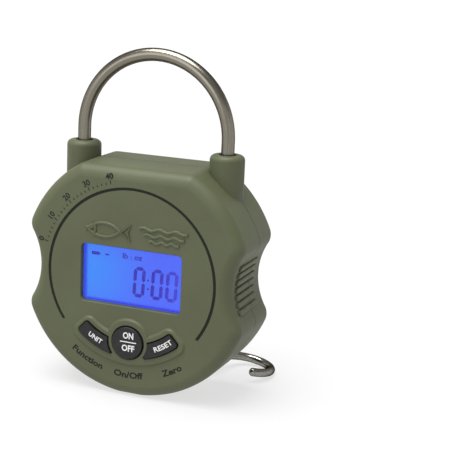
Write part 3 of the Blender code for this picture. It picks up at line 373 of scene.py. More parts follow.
@dataclass(frozen=True)
class Ink(Finish):
    """Pad-printed ink, slightly uneven where it took."""

    colour: Colour
    ground: Colour

    def paint(self, graph: Graph) -> None:
        """Lay the nodes."""
        patch = graph.noise(graph.place(), 2.2, 4.0, 0.7)
        graph.set(Base_Color=graph.mix(patch.rise(0.56, 0.78) * 0.45, self.colour, self.ground),
                  Roughness=patch * 0.2 + 0.4, Specular_IOR_Level=0.22)


@dataclass(frozen=True)
class RodSteel(Finish):
    """Satin stainless rod, polished along its length round an arch."""

    colour: Colour
    dark: Colour
    roughness: float
    arch: Point
    grazing: Colour = (0.16, 0.13, 0.13)

    def paint(self, graph: Graph) -> None:
        """Lay the nodes; arch is the arch's centre in x and z, in metres."""
        x, y, z = graph.axes(graph.place())
        up = (z - self.arch[1] / MM).most(0.0)
        radius = ((x - self.arch[0] / MM) ** 2.0 + up ** 2.0) ** 0.5
        lines = graph.noise(graph.vector(radius * 6.0, y * 6.0, z * 0.06), 1.0, 5.0, 0.7)
        stains = graph.noise(graph.place(), 0.12, 3.0)
        tone = graph.mix(lines.rise(0.35, 0.7), self.dark, self.colour)
        tone = graph.mix(stains.rise(0.55, 0.8) * 0.25, tone, self.dark)
        graph.set(Base_Color=tone, Metallic=1.0, Specular_Tint=(*self.grazing, 1.0),
                  Roughness=lines * 0.16 + stains * 0.08 + (self.roughness - 0.12))
        graph.bump(lines, 0.12, 0.00003)


@dataclass(frozen=True)
class PlainMetal(Finish):
    """Turned, rolled or plated metal with faint working marks."""

    colour: Colour
    dark: Colour
    roughness: float
    lay: tuple[float, float, float] = (1.0, 1.0, 1.0)
    grazing: Colour = (1.0, 1.0, 1.0)

    def paint(self, graph: Graph) -> None:
        """Lay the nodes."""
        marks = graph.noise(graph.place(self.lay), 2.5, 4.0, 0.7)
        tarnish = graph.noise(graph.place(), 0.18, 3.0)
        tone = graph.mix(marks.rise(0.3, 0.75), self.dark, self.colour)
        tone = graph.mix(tarnish.rise(0.55, 0.8) * 0.4, tone, self.dark)
        graph.set(Base_Color=tone, Metallic=1.0, Specular_Tint=(*self.grazing, 1.0),
                  Roughness=marks * 0.14 + tarnish * 0.1 + (self.roughness - 0.1))
        graph.bump(marks, 0.1, 0.00002)


@dataclass(frozen=True)
class Plastic(Finish):
    """Plain moulded or lacquered plastic for inner pieces."""

    colour: Colour
    roughness: float

    def paint(self, graph: Graph) -> None:
        """Lay the nodes."""
        where = graph.place()
        cloud = graph.noise(where, 0.2, 3.0)
        speck = graph.noise(where, 3.5, 2.0)
        lighter = tuple(min(1.0, c * 1.25 + 0.01) for c in self.colour)
        graph.set(Base_Color=graph.mix(cloud.rise(0.35, 0.7), self.colour, lighter),
                  Roughness=speck * 0.12 + (self.roughness - 0.06))
        graph.bump(speck, 0.1, 0.00003)


@dataclass(frozen=True)
class Glow(Finish):
    """The lit panel: blue light that is palest beside its lamp and deep at its borders."""

    lamp: Colour
    far: Colour
    border: Colour
    half_width: float
    half_height: float
    centre_z: float

    def paint(self, graph: Graph) -> None:
        """Lay the nodes; sizes are in metres."""
        x, _, z = graph.axes(graph.place())
        wide, tall = self.half_width / MM, self.half_height / MM
        across = x / wide
        height = (z - self.centre_z / MM) / tall
        tone = graph.mix(across.rise(-1.05, 0.55), self.lamp, self.far)
        tone = graph.mix(height.size().rise(0.2, 1.3) * 0.45, tone, self.far)
        rim = across.size().rise(0.93, 1.01).most(height.size().rise(0.90, 1.02))
        tone = graph.mix(rim * 0.85, tone, self.border)
        tone = graph.mix(graph.noise(graph.place(), 0.9, 2.0).rise(0.2, 0.9) * 0.08, tone, self.border)
        graph.set(Base_Color=(0.0, 0.0, 0.0), Emission_Color=tone, Emission_Strength=1.0,
                  Roughness=0.3, Specular_IOR_Level=0.0)


@dataclass(frozen=True)
class LitMark(Finish):
    """A liquid-crystal segment seen against the light, weaker towards its far side."""

    colour: Colour
    weak: Colour
    fade_from: float
    fade_to: float

    def paint(self, graph: Graph) -> None:
        """Lay the nodes; the fade runs along x, in metres."""
        where = graph.place()
        x, _, _ = graph.axes(where)
        patch = graph.noise(where, 0.7, 2.0).rise(0.3, 0.8)
        share = x.rise(self.fade_from / MM, self.fade_to / MM) * 0.75 + patch * 0.25
        graph.set(Base_Color=(0.0, 0.0, 0.0), Emission_Strength=1.0, Roughness=0.4,
                  Specular_IOR_Level=0.0,
                  Emission_Color=graph.mix(share, self.colour, self.weak))


@dataclass(frozen=True)
class ClearCover(Finish):
    """A clear window with a trace of haze."""

    name: str = "clear_cover"

    def paint(self, graph: Graph) -> None:
        """Lay the nodes."""
        haze = graph.noise(graph.place(), 0.5, 4.0, 0.6)
        graph.set(Base_Color=(0.15, 0.2, 0.4), Roughness=haze * 0.1 + 0.06,
                  Alpha=haze * 0.04 + 0.02)
        graph.material.surface_render_method = "BLENDED"


@dataclass(frozen=True)
class Board(Finish):
    """Green lacquer over copper tracks."""

    name: str = "board_lacquer"

    def paint(self, graph: Graph) -> None:
        """Lay the nodes."""
        x, _, z = graph.axes(graph.place())
        brick = graph.node("ShaderNodeTexBrick", {"offset": 0.5}, {
            "Vector": graph.vector(x, z, 0.0), "Scale": 0.35, "Mortar Size": 0.06,
            "Color1": (0.012, 0.10, 0.04), "Color2": (0.018, 0.13, 0.05),
            "Mortar": (0.05, 0.24, 0.09)})
        tracks = Signal(graph, brick.outputs["Color"])
        pads = graph.cells(graph.place(), 0.45).rise(0.18, 0.12)
        graph.set(Base_Color=graph.mix(pads, tracks, (0.55, 0.52, 0.42)), Roughness=0.3 + pads * 0.1)
        graph.bump(Signal(graph, brick.outputs["Fac"]), 0.3, 0.00003)


@dataclass(frozen=True)
class CellWrap(Finish):
    """A battery's printed sleeve, with bare metal at its ends."""

    half_length: float
    sleeve: Colour = (0.02, 0.075, 0.16)
    band: Colour = (0.62, 0.42, 0.10)
    metal: Colour = (0.55, 0.54, 0.52)

    def paint(self, graph: Graph) -> None:
        """Lay the nodes; half_length is in metres along x."""
        where = graph.place()
        x, _, _ = graph.axes(where)
        along = x.size() / (self.half_length / MM)
        scratch = graph.noise(graph.place((0.2, 2.0, 2.0)), 1.0, 3.0)
        bare = along.rise(0.965, 0.975)
        tone = graph.mix(along.rise(0.62, 0.63), self.sleeve, self.band)
        tone = graph.mix(scratch.rise(0.6, 0.8) * 0.2, tone, (0.5, 0.5, 0.5))
        graph.set(Base_Color=graph.mix(bare, tone, self.metal), Metallic=bare,
                  Roughness=0.32 + scratch * 0.08)


@dataclass(frozen=True)
class Foil(Finish):
    """A strain gauge: a fine grid under amber lacquer."""

    name: str = "gauge_grid"

    def paint(self, graph: Graph) -> None:
        """Lay the nodes."""
        wave = graph.node("ShaderNodeTexWave", {"bands_direction": "Y"}, {
            "Vector": graph.place(), "Scale": 0.6, "Distortion": 0.0})
        grid = Signal(graph, wave.outputs["Fac"]).rise(0.45, 0.55)
        graph.set(Base_Color=graph.mix(grid, (0.5, 0.24, 0.06), (0.62, 0.45, 0.28)),
                  Metallic=grid * 0.6, Roughness=0.35)


@dataclass(frozen=True)
class PaleFloor(Finish):
    """A pale studio floor with a barely uneven surface."""

    name: str = "pale_floor"
    colour: Colour = (0.17, 0.17, 0.17)
    lift: float = 0.66

    def paint(self, graph: Graph) -> None:
        """Lay the nodes."""
        cloud = graph.noise(graph.place(), 0.004, 2.0)
        darker = tuple(0.985 * c for c in self.colour)
        graph.set(Base_Color=graph.mix(cloud, darker, self.colour), Roughness=0.55)
        graph.set(Specular_IOR_Level=0.1, Emission_Color=(1.0, 1.0, 1.0, 1.0), Emission_Strength=self.lift)


# ---------------------------------------------------------------- outlines and forms

def arc(centre: Point, radius: float, start: float, end: float, steps: int) -> Outline:
    """Points along an arc.

    Args:
        centre: The arc's centre.
        radius: Its radius.
        start: The first point's angle, in degrees from +X towards +Z.
        end: The last point's angle.
        steps: How many chords it takes.

    Returns:
        The points, both ends among them.
    """
    angles = [math.radians(start + (end - start) * i / steps) for i in range(steps + 1)]
    return [(centre[0] + radius * math.cos(a), centre[1] + radius * math.sin(a)) for a in angles]


def chain(arcs: Sequence[Outline]) -> Outline:
    """One outline from arcs that each start where the last one ended.

    Args:
        arcs: The arcs, in order.

    Returns:
        Their points, shared ends once.
    """
    points = list(arcs[0])
    for following in arcs[1:]:
        points += following[1:]
    return points


def circle(centre: Point, radius: float, steps: int = 72) -> Outline:
    """A closed circle's points."""
    return arc(centre, radius, 0, 360, steps)[:-1]


def round_box(half_width: float, low: float, high: float, radius: float, steps: int = 8) -> Outline:
    """A rectangle about x = 0 with round corners.

    Args:
        half_width: Half its width.
        low: Its lowest z.
        high: Its highest z.
        radius: The corners' radius.
        steps: Chords in each corner.

    Returns:
        A closed outline.
    """
    across = half_width - radius
    corners = ((across, low + radius, -90), (across, high - radius, 0),
               (-across, high - radius, 90), (-across, low + radius, 180))
    points: Outline = []
    for x, z, start in corners:
        points += arc((x, z), radius, start, start + 90, steps)
    return points


def band(radius: float, half: float, start: float, end: float, steps: int) -> Outline:
    """A stretch of a ring about the origin, with round ends.

    Args:
        radius: The middle line's radius.
        half: Half its width.
        start: Its first angle, in degrees from +X.
        end: Its last angle.
        steps: Chords along each side.

    Returns:
        A closed outline.
    """
    first = arc((0, 0), radius, start, start, 1)[0]
    last = arc((0, 0), radius, end, end, 1)[0]
    return (arc((0, 0), radius + half, start, end, steps) + arc(last, half, end, end + 180, 6)[1:-1]
            + arc((0, 0), radius - half, end, start, steps)
            + arc(first, half, start + 180, start + 360, 6)[1:-1])


def sector(inner: float, outer: float, start: float, end: float, radius: float,
           inset: float, steps: int = 20) -> Outline:
    """A stretch of a ring with round corners, between two angles from straight down.

    Args:
        inner: The inner side's radius.
        outer: The outer side's radius.
        start: Where it starts, in degrees from straight down.
        end: Where it ends.
        radius: The corners' radius.
        inset: How far every side is moved in.
        steps: Chords along each long side.

    Returns:
        A closed outline.
    """
    first, last = start - 90, end - 90
    out_slip = math.degrees(math.asin(radius / (outer - radius)))
    in_slip = math.degrees(math.asin(radius / (inner + radius)))

    def corner(distance: float, at: float, turn: float) -> Outline:
        centre = arc((0, 0), distance, at, at, 1)[0]
        return arc(centre, radius - inset, turn, turn + 90, 8)

    return (corner(outer - radius, first + out_slip, first - 90 + out_slip)[:-1]
            + arc((0, 0), outer - inset, first + out_slip, last - out_slip, steps)
            + corner(outer - radius, last - out_slip, last - out_slip)[1:]
            + corner(inner + radius, last - in_slip, last - in_slip + 90)[:-1]
            + arc((0, 0), inner + inset, last - in_slip, first + in_slip, steps)
            + corner(inner + radius, first + in_slip, first + 180 + in_slip)[1:])


def linked(name: str, data: bpy.types.ID) -> bpy.types.Object:
    """A new object, in the scene.

    Args:
        name: Its name.
        data: The mesh, curve, light or camera that it shows.

    Returns:
        The object.
    """
    made = bpy.data.objects.new(name, data)
    bpy.context.scene.collection.objects.link(made)
    return made


class Form:
    """A mesh being shaped with bmesh operators."""

    def __init__(self) -> None:
        """Start empty."""
        self.bm = bmesh.new()

    def loft(self, sections: Sequence[tuple[float, Outline]]) -> "Form":
        """Add a closed body through outlines at several depths along Y.

        Args:
            sections: Each section's depth and outline.

        Returns:
            This form.
        """
        rings = []
        for depth, outline in sections:
            verts = [self.bm.verts.new((x, depth, z)) for x, z in outline]
            rings.append([self.bm.edges.new((verts[i - 1], verts[i])) for i in range(len(verts))])
        for near, far in zip(rings, rings[1:]):
            bmesh.ops.bridge_loops(self.bm, edges=near + far)
        for ring in (rings[0], rings[-1]):
            bmesh.ops.contextual_create(self.bm, geom=ring)
        return self.face_out()

    def turn(self, profile: Sequence[Point], steps: int = 64) -> "Form":
        """Add a body turned about Z from (radius, height) points.

        Args:
            profile: The profile's points, from the axis out or closed away from it.
            steps: Facets round it.

        Returns:
            This form.
        """
        verts = [self.bm.verts.new((radius, 0, height)) for radius, height in profile]
        edges = [self.bm.edges.new(pair) for pair in zip(verts, verts[1:])]
        if profile[0][0] > 0:
            edges.append(self.bm.edges.new((verts[-1], verts[0])))
        bmesh.ops.spin(self.bm, geom=verts + edges, cent=(0, 0, 0), axis=(0, 0, 1),
                       angle=2 * math.pi, steps=steps, use_merge=True)
        bmesh.ops.remove_doubles(self.bm, verts=self.bm.verts, dist=WELD)
        return self.face_out()

    def box(self, low: Sequence[float], high: Sequence[float]) -> "Form":
        """Add a box from its lowest corner to its highest.

        Args:
            low: The lowest corner.
            high: The highest corner.

        Returns:
            This form.
        """
        size = [b - a for a, b in zip(low, high)]
        middle = [(a + b) / 2 for a, b in zip(low, high)]
        matrix = Matrix.Translation(middle) @ Matrix.Diagonal((*size, 1.0))
        bmesh.ops.create_cube(self.bm, size=1.0, matrix=matrix)
        return self

    def rod(self, start: Sequence[float], end: Sequence[float], radius: float,
            steps: int = 48) -> "Form":
        """Add a cylinder between two points.

        Args:
            start: The middle of one end.
            end: The middle of the other.
            radius: Its radius.
            steps: Facets round it.

        Returns:
            This form.
        """
        along = Vector(end) - Vector(start)
        matrix = Matrix.Translation((Vector(start) + Vector(end)) / 2)
        matrix @= along.to_track_quat("Z", "Y").to_matrix().to_4x4()
        bmesh.ops.create_cone(self.bm, cap_ends=True, segments=steps, radius1=radius,
                              radius2=radius, depth=along.length, matrix=matrix)
        return self

    def soften(self, width: float, segments: int, chosen: Callable[[bmesh.types.BMEdge], bool]
               ) -> "Form":
        """Round the edges that a test chooses.

        Args:
            width: How far in each round starts.
            segments: Facets across each round.
            chosen: The test.

        Returns:
            This form.
        """
        edges = [edge for edge in self.bm.edges if chosen(edge)]
        bmesh.ops.bevel(self.bm, geom=edges, offset=width, offset_type="OFFSET", affect="EDGES",
                        segments=segments, profile=0.5, material=-1, clamp_overlap=True)
        return self

    def move(self, matrix: Matrix) -> "Form":
        """Place the whole mesh.

        Args:
            matrix: Where it goes.

        Returns:
            This form.
        """
        bmesh.ops.transform(self.bm, matrix=matrix, verts=self.bm.verts)
        if matrix.determinant() < 0:
            bmesh.ops.reverse_faces(self.bm, faces=self.bm.faces)
        return self

    def add(self, other: "Form") -> "Form":
        """Take another form's mesh in, leaving it empty.

        Args:
            other: The other form.

        Returns:
            This form.
        """
        mesh = bpy.data.meshes.new("passing")
        other.bm.to_mesh(mesh)
        other.bm.free()
        self.bm.from_mesh(mesh)
        bpy.data.meshes.remove(mesh)
        return self

    def face_out(self) -> "Form":
        """Turn every face outwards."""
        bmesh.ops.recalc_face_normals(self.bm, faces=self.bm.faces)
        return self

    def as_object(self, name: str) -> bpy.types.Object:
        """Finish the mesh as an object at the origin.

        Args:
            name: The object's name.

        Returns:
            The object, in the scene.
        """
        mesh = bpy.data.meshes.new(name)
        self.bm.to_mesh(mesh)
        self.bm.free()
        return linked(name, mesh)


def sharp(edge: bmesh.types.BMEdge, degrees: float = 40.0) -> bool:
    """Whether an edge turns by more than an angle."""
    return edge.is_manifold and edge.calc_face_angle(0.0) > math.radians(degrees)


def level(axis: int, place: float) -> Callable[[bmesh.types.BMEdge | bmesh.types.BMFace], bool]:
    """A test for edges or faces that lie level.

    Args:
        axis: 0, 1 or 2, for X, Y or Z.
        place: Where along that axis they lie.

    Returns:
        The test.
    """
    return lambda part: all(abs(vert.co[axis] - place) < TOUCH for vert in part.verts)


def flat_copy(thing: bpy.types.Object) -> bpy.types.Mesh:
    """The mesh that an object's modifiers or curve make."""
    depsgraph = bpy.context.evaluated_depsgraph_get()
    return bpy.data.meshes.new_from_object(thing.evaluated_get(depsgraph))


def melted(thing: bpy.types.Object) -> bpy.types.Mesh:
    """The mesh of a curve or of text, whose object is removed.

    Args:
        thing: The curve or text object.

    Returns:
        The mesh that it made.
    """
    mesh = flat_copy(thing)
    bpy.data.objects.remove(thing, do_unlink=True)
    return mesh


def bake(target: bpy.types.Object) -> None:
    """Apply an object's modifiers.

    Args:
        target: The object.
    """
    mesh = flat_copy(target)
    old = target.data
    target.modifiers.clear()
    target.data = mesh
    bpy.data.meshes.remove(old)


def work(target: bpy.types.Object, joins: Sequence[Form] = (), cuts: Sequence[Form] = ()
         ) -> bpy.types.Object:
    """Join forms to a piece and then cut others from it.

    Args:
        target: The piece.
        joins: What is added.
        cuts: What is taken away.

    Returns:
        The piece, its Booleans applied.
    """
    tools = []
    for operation, forms in (("UNION", joins), ("DIFFERENCE", cuts)):
        for index, form in enumerate(forms):
            tool = form.as_object(f"{target.name}_{operation.lower()}_{index}")
            modifier = target.modifiers.new(tool.name, "BOOLEAN")
            modifier.operation = operation
            modifier.object = tool
            tools.append(tool)
    bake(target)
    for tool in tools:
        mesh = tool.data
        bpy.data.objects.remove(tool, do_unlink=True)
        bpy.data.meshes.remove(mesh)
    return target


def place_mesh(target: bpy.types.Object, matrix: Matrix) -> bpy.types.Object:
    """Put a piece where it belongs, in its mesh."""
    target.data.transform(matrix)
    return target


def dress(target: bpy.types.Object, material: bpy.types.Material, body: Body,
          replaces: Iterable[str] = (), crease: float = 32.0,
          edge: float = 0.0) -> bpy.types.Object:
    """Shade a finished piece and hand it to its body.

    Args:
        target: The piece, already in place.
        material: Its finish.
        body: The body that it moves with.
        replaces: CAD nodes that it stands for.
        crease: Edges that turn by more than this, in degrees, stay sharp.
        edge: Width of a small round on its sharp edges, or 0.

    Returns:
        The piece.
    """
    target.data.materials.clear()
    target.data.materials.append(material)
    target.data.shade_smooth()
    if edge:
        rounder = target.modifiers.new("edge_round", "BEVEL")
        rounder.width = edge
        rounder.segments = 2
        rounder.limit_method = "ANGLE"
        rounder.angle_limit = math.radians(crease + 8)
        rounder.harden_normals = False
    else:
        target.data.set_sharp_from_angle(angle=math.radians(crease))
    weights = target.modifiers.new("flat_faces", "WEIGHTED_NORMAL")
    weights.keep_sharp = not edge
    weights.weight = 100
    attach(target, body.value)
    for node in replaces:
        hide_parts(node)
    LOG.info("%-22s %6d faces, rides on %s", target.name, len(target.data.polygons), body.value)
    return target


def joint(name: str) -> dict:
    """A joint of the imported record."""
    return next(j for j in frame["record"]["behaviour"]["joints"] if j["name"] == name)


# ---------------------------------------------------------------- the case

@dataclass(frozen=True)
class CaseSizes:
    """Sizes of the case, in metres, seen from the front with its centre at the origin."""

    radius: float = 57.2 * MM
    waist_radius: float = 30.3 * MM
    waist_x: float = 78.5 * MM
    lobe_round: float = 7.5 * MM
    top: float = 50.4 * MM
    top_round: float = 6.0 * MM
    base_drop: float = 56.5 * MM
    depth: float = 40.0 * MM
    front_round: float = 5.5 * MM
    back_round: float = 3.0 * MM
    parting: float = 22.0 * MM
    wall: float = 3.0 * MM
    face_wall: float = 2.6 * MM
    seam: float = 0.15 * MM
    draft: float = 0.5 * MM

    @property
    def lobe(self) -> Point:
        """Centre of the round between a waist and the disc.

        Returns:
            Its x and z.
        """
        disc, waist = self.radius - self.lobe_round, self.waist_radius + self.lobe_round
        x = (disc ** 2 - waist ** 2 + self.waist_x ** 2) / (2 * self.waist_x)
        return x, math.sqrt(disc ** 2 - x ** 2)

    @property
    def corner(self) -> Point:
        """Centre of the round beside the flat top."""
        z = self.top - self.top_round
        return math.sqrt((self.radius - self.top_round) ** 2 - z ** 2), z

    def outline(self, inset: float, fine: int = 4, draft: float = 0.0) -> Outline:
        """The closed outline.

        Args:
            inset: How far all of it is moved in.
            fine: Chords for each coarse one.
            draft: How much farther in all but the standing flat is moved.

        Returns:
            The outline from the right end of the standing flat round to its left end.
        """
        inward = inset + draft
        rim = self.radius - inward
        base = math.degrees(math.acos((self.base_drop - inset) / rim))
        lobe = math.degrees(math.atan2(self.lobe[1], self.lobe[0]))
        turn = math.degrees(math.atan2(self.lobe[1], self.waist_x - self.lobe[0]))
        corner = math.degrees(math.atan2(self.corner[1], self.corner[0]))
        low_lobe = (self.lobe[0], -self.lobe[1])
        side = chain([
            arc((0, 0), rim, base - 90, -lobe, 10 * fine),
            arc(low_lobe, self.lobe_round - inward, -lobe, turn, 3 * fine),
            arc((self.waist_x, 0), self.waist_radius + inward, 180 + turn, 180 - turn, 6 * fine),
            arc(self.lobe, self.lobe_round - inward, -turn, lobe, 3 * fine),
            arc((0, 0), rim, lobe, corner, 6 * fine),
            arc(self.corner, self.top_round - inward, corner, 90, 2 * fine),
        ])
        return side + [(-x, z) for x, z in reversed(side)]


CASE = CaseSizes()
CAD_LOW, CAD_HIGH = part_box("rear_shell")
DIAL = Matrix.Translation((0.0, CAD_HIGH[1] - CASE.depth, CAD_LOW[2] + CASE.base_drop))
PIN = Vector(joint("hook_fold")["pos_m"])
PIN_AXIS = -Vector(joint("hook_fold")["axis"])
LOAD_Y = PIN.y - DIAL.translation.y


@dataclass(frozen=True)
class KeySizes:
    """Sizes of the keys and of the pad round them, in metres and degrees from straight down."""

    centre_z: float = -30.2 * MM
    power_radius: float = 7.6 * MM
    power_space: float = 10.0 * MM
    inner: float = 30.8 * MM
    outer: float = 37.3 * MM
    start: float = 12.0
    end: float = 42.4
    corner: float = 1.2 * MM
    clear: float = 0.35 * MM
    proud: float = 1.9 * MM
    back: float = 3.8 * MM
    flange_front: float = 3.0 * MM
    flange: float = 0.9 * MM
    pad_inner: float = 27.3 * MM
    pad_outer: float = 41.6 * MM
    pad_end: float = 47.0
    pad_corner: float = 4.5 * MM
    pad_height: float = 1.0 * MM
    pad_slope: float = 1.3 * MM
    power_pad: float = 11.5 * MM

    def side(self, hand: int, grow: float = 0.0) -> Outline:
        """A side key's outline, grown all round, before the power key's circle is cut from it.

        Args:
            hand: -1 for the left key, 1 for the right one.
            grow: How far every side is moved out.

        Returns:
            A closed outline.
        """
        start, end = (self.start, self.end) if hand > 0 else (-self.end, -self.start)
        slip = math.degrees(grow / self.outer)
        return sector(self.inner - grow, self.outer + grow, start - slip, end + slip,
                      self.corner + grow, 0.0)

    def power_form(self, radius: float, front: float, back: float) -> Form:
        """A straight round plug on the power key's centre."""
        return Form().loft([(front, circle((0, self.centre_z), radius)),
                            (back, circle((0, self.centre_z), radius))])


KEYS = KeySizes()


@dataclass
class Shells:
    """The front and rear shells, cut from one outer form."""

    sizes: CaseSizes
    keys: KeySizes
    finish: bpy.types.Material
    leg_x: float = 35.9 * MM
    collar_radius: float = 8.0 * MM
    collar_round: float = 2.4 * MM
    collar_low: float = 32.0 * MM
    collar_top: float = 57.2 * MM
    rod_space: float = 3.3 * MM
    way_low: float = -26.0 * MM
    way_high: float = 62.0 * MM
    seal_space: float = 4.1 * MM
    seal_floor: float = 53.8 * MM
    mouth_high: float = 63.0 * MM
    rib_count: int = 7
    rib_pitch: float = 3.375 * MM
    rib_middle: float = -1.0 * MM
    rib_width: float = 2.6 * MM
    rib_height: float = 0.8 * MM
    rib_front: float = 8.0 * MM
    rib_back: float = 30.0 * MM
    pad_root: float = 1.0 * MM
    window: Point = (24.8 * MM, 13.55 * MM)
    window_round: float = 2.2 * MM
    window_edge: tuple[Point, ...] = ((-0.8 * MM, 1.1 * MM), (0.0, 0.32 * MM), (0.22 * MM, 0.09 * MM),
                                      (0.5 * MM, 0.0), (4.6 * MM, 0.0))
    groove_radius: float = 41.0 * MM
    groove_half: float = 0.66 * MM
    groove_end: float = 125.0
    groove_edge: tuple[Point, ...] = ((-0.5 * MM, 1.7), (0.0, 1.12), (0.15 * MM, 1.0),
                                      (0.8 * MM, 0.9), (1.1 * MM, 0.5))
    key_edge: tuple[Point, ...] = ((-2.2 * MM, 1.5 * MM), (-1.0 * MM, 0.35 * MM),
                                   (-0.75 * MM, 0.09 * MM), (-0.4 * MM, 0.0), (4.6 * MM, 0.0))
    guard_ends: Point = (-3.0 * MM, 6.0 * MM)
    bay_roof: float = -34.4 * MM
    bay_round: float = 1.0 * MM
    bay_radius: float = 6.6 * MM
    bay_angle: float = 56.0
    bay_side: float = 2.95 * MM
    bay_wall: float = 2.0 * MM
    bush_space: float = 6.0 * MM
    bush_reach: float = 4.0 * MM
    bosses: tuple[Point, ...] = ((45.2 * MM, 18.6 * MM), (45.2 * MM, -18.6 * MM),
                                 (14.0 * MM, 42.4 * MM))
    boss_radius: float = 3.4 * MM
    room_bevel: float = 1.2 * MM
    well_radius: float = 3.0 * MM
    well_floor: float = 35.4 * MM
    well_edge: tuple[Point, ...] = ((1.0 * MM, 1.3 * MM), (0.0, 0.3 * MM), (-0.3 * MM, 0.0))
    shaft_space: float = 1.5 * MM
    shaft_front: float = 6.0 * MM
    block_half: float = 29.85 * MM
    block_floor: float = 1.5 * MM
    block_shelf: float = 3.0 * MM
    box_half: float = 26.0 * MM
    box_low: float = 5.2 * MM
    box_high: float = 29.0 * MM
    box_floor: float = 27.2 * MM
    box_round: float = 0.8 * MM
    door_half: float = 28.0 * MM
    door_low: float = 3.6 * MM
    door_high: float = 30.6 * MM
    door_seat: float = 38.0 * MM
    door_round: float = 0.5 * MM
    door_edge: tuple[Point, ...] = ((-0.3 * MM, 0.0), (0.0, 0.25 * MM), (1.0 * MM, 1.2 * MM))
    notch_half: float = 7.5 * MM
    notch_out: float = 8.5 * MM
    notch_down: float = 1.5 * MM
    notch_radius: float = 10.2 * MM
    notch_round: float = 1.6 * MM
    pivot_half: float = 29.15 * MM
    pivot_in: float = 0.85 * MM
    pivot_up: float = 1.2 * MM
    pivot_radius: float = 0.68 * MM

    def blank(self) -> Form:
        """The outer form of the closed case, its front and back edges rounded.

        Returns:
            The form.
        """
        sizes = self.sizes
        form = Form().loft([(0.0, sizes.outline(0.0, draft=sizes.draft)),
                            (sizes.parting, sizes.outline(0.0)),
                            (sizes.depth, sizes.outline(0.0))])
        for depth, radius in ((0.0, sizes.front_round), (sizes.depth, sizes.back_round)):
            form.soften(radius, 8, level(1, depth))
        return form

    def collars(self) -> Form:
        """The two collars that the legs leave the case by, their rims rounded.

        Returns:
            The form.
        """
        form = Form()
        for side in (-1, 1):
            x = side * self.leg_x
            form.rod((x, LOAD_Y, self.collar_low), (x, LOAD_Y, self.collar_top), self.collar_radius, 72)
        return form.soften(self.collar_round, 6, level(2, self.collar_top))

    def ribs(self) -> Form:
        """Rounded bars across both waists.

        Returns:
            The form.
        """
        form = Form()
        for side in (-1, 1):
            for index in range(self.rib_count):
                height = self.rib_middle + (index - (self.rib_count - 1) / 2) * self.rib_pitch
                tilt = math.asin(height / self.sizes.waist_radius)
                x = self.sizes.waist_x - self.sizes.waist_radius * math.cos(tilt)
                half = self.rib_width / 2
                bar = Form().box((-self.rib_height, self.rib_front, -half),
                                 (self.rib_height, self.rib_back, half))
                bar.soften(self.rib_height * 0.9, 5, lambda edge: True)
                turn = Matrix.Translation((side * x, 0, height)) @ Matrix.Rotation(side * tilt, 4, "Y")
                form.add(bar.move(turn))
        return form

    def pad(self, outline: Callable[[float], Outline]) -> Form:
        """A low pad on the face with a soft slope round it.

        Args:
            outline: The pad's outline at an inset.

        Returns:
            The form.
        """
        steps = 8
        sections = [(self.pad_root, outline(0.0))]
        for index in range(steps + 1):
            share = index / steps
            rise = share * share * (3 - 2 * share)
            sections.append((-self.keys.pad_height * rise, outline(self.keys.pad_slope * share)))
        return Form().loft(sections)

    def pads(self) -> list[Form]:
        """The pad's band and its round middle.

        Returns:
            The two forms.
        """
        keys = self.keys
        return [self.pad(lambda inset: sector(keys.pad_inner, keys.pad_outer, -keys.pad_end,
                                              keys.pad_end, keys.pad_corner, inset, 48)),
                self.pad(lambda inset: circle((0, keys.centre_z), keys.power_pad - inset))]

    def bay(self, extra: float) -> Form:
        """The hook bay, or the block that leaves a wall round it.

        Args:
            extra: How much wider than the bay it is.

        Returns:
            The form.
        """
        radius, half = self.bay_radius + extra, self.bay_side + extra
        lean = math.radians(self.bay_angle)
        meet = self.bay_angle + math.degrees(math.asin(half / radius))
        back = self.sizes.depth + OVERRUN - LOAD_Y
        wide = back * math.tan(lean) + half / math.cos(lean)
        plan = arc((0, 0), radius, 90 - meet, meet - 270, 40) + [(-wide, back), (wide, back)]
        form = Form().loft([(-FAR, plan), (self.bay_roof + extra, plan)])
        if not extra:
            form.soften(self.bay_round, 4, level(1, self.bay_roof))
        swap = Matrix(((1, 0, 0, 0), (0, 0, 1, LOAD_Y), (0, 1, 0, 0), (0, 0, 0, 1)))
        return form.move(swap).face_out()

    def cavity(self) -> bpy.types.Object:
        """The room inside, less the bosses, the bay and the battery box.

        Returns:
            The room as a piece to cut with.
        """
        depth = self.sizes.depth
        room = Form().loft([(self.sizes.face_wall, self.sizes.outline(self.sizes.wall, 2)),
                            (depth - self.sizes.face_wall, self.sizes.outline(self.sizes.wall, 2))])
        room.soften(self.room_bevel, 1,
                    lambda edge: abs(edge.verts[0].co.y - edge.verts[1].co.y) < TOUCH)
        posts = Form()
        for x, z in self.mirrored():
            posts.rod((x, -OVERRUN, z), (x, depth + OVERRUN, z), self.boss_radius, 32)
        block = Form().box((-self.block_half, self.box_floor - self.block_floor,
                            self.box_low - self.block_shelf),
                           (self.block_half, depth + OVERRUN, self.box_high + self.block_shelf))
        return work(room.as_object("cavity"), cuts=[posts, block, self.bay(self.bay_wall)])

    def mirrored(self) -> list[Point]:
        """The bosses on both sides."""
        return [(side * x, z) for x, z in self.bosses for side in (-1, 1)]

    def rod_ways(self) -> list[Form]:
        """The legs' ways through the collars, and the wider mouths of the seals.

        Returns:
            The two forms to cut with.
        """
        ways, mouths = Form(), Form()
        for side in (-1, 1):
            x = side * self.leg_x
            ways.rod((x, LOAD_Y, self.way_low), (x, LOAD_Y, self.way_high), self.rod_space)
            mouths.rod((x, LOAD_Y, self.seal_floor), (x, LOAD_Y, self.mouth_high), self.seal_space)
        return [ways, mouths]

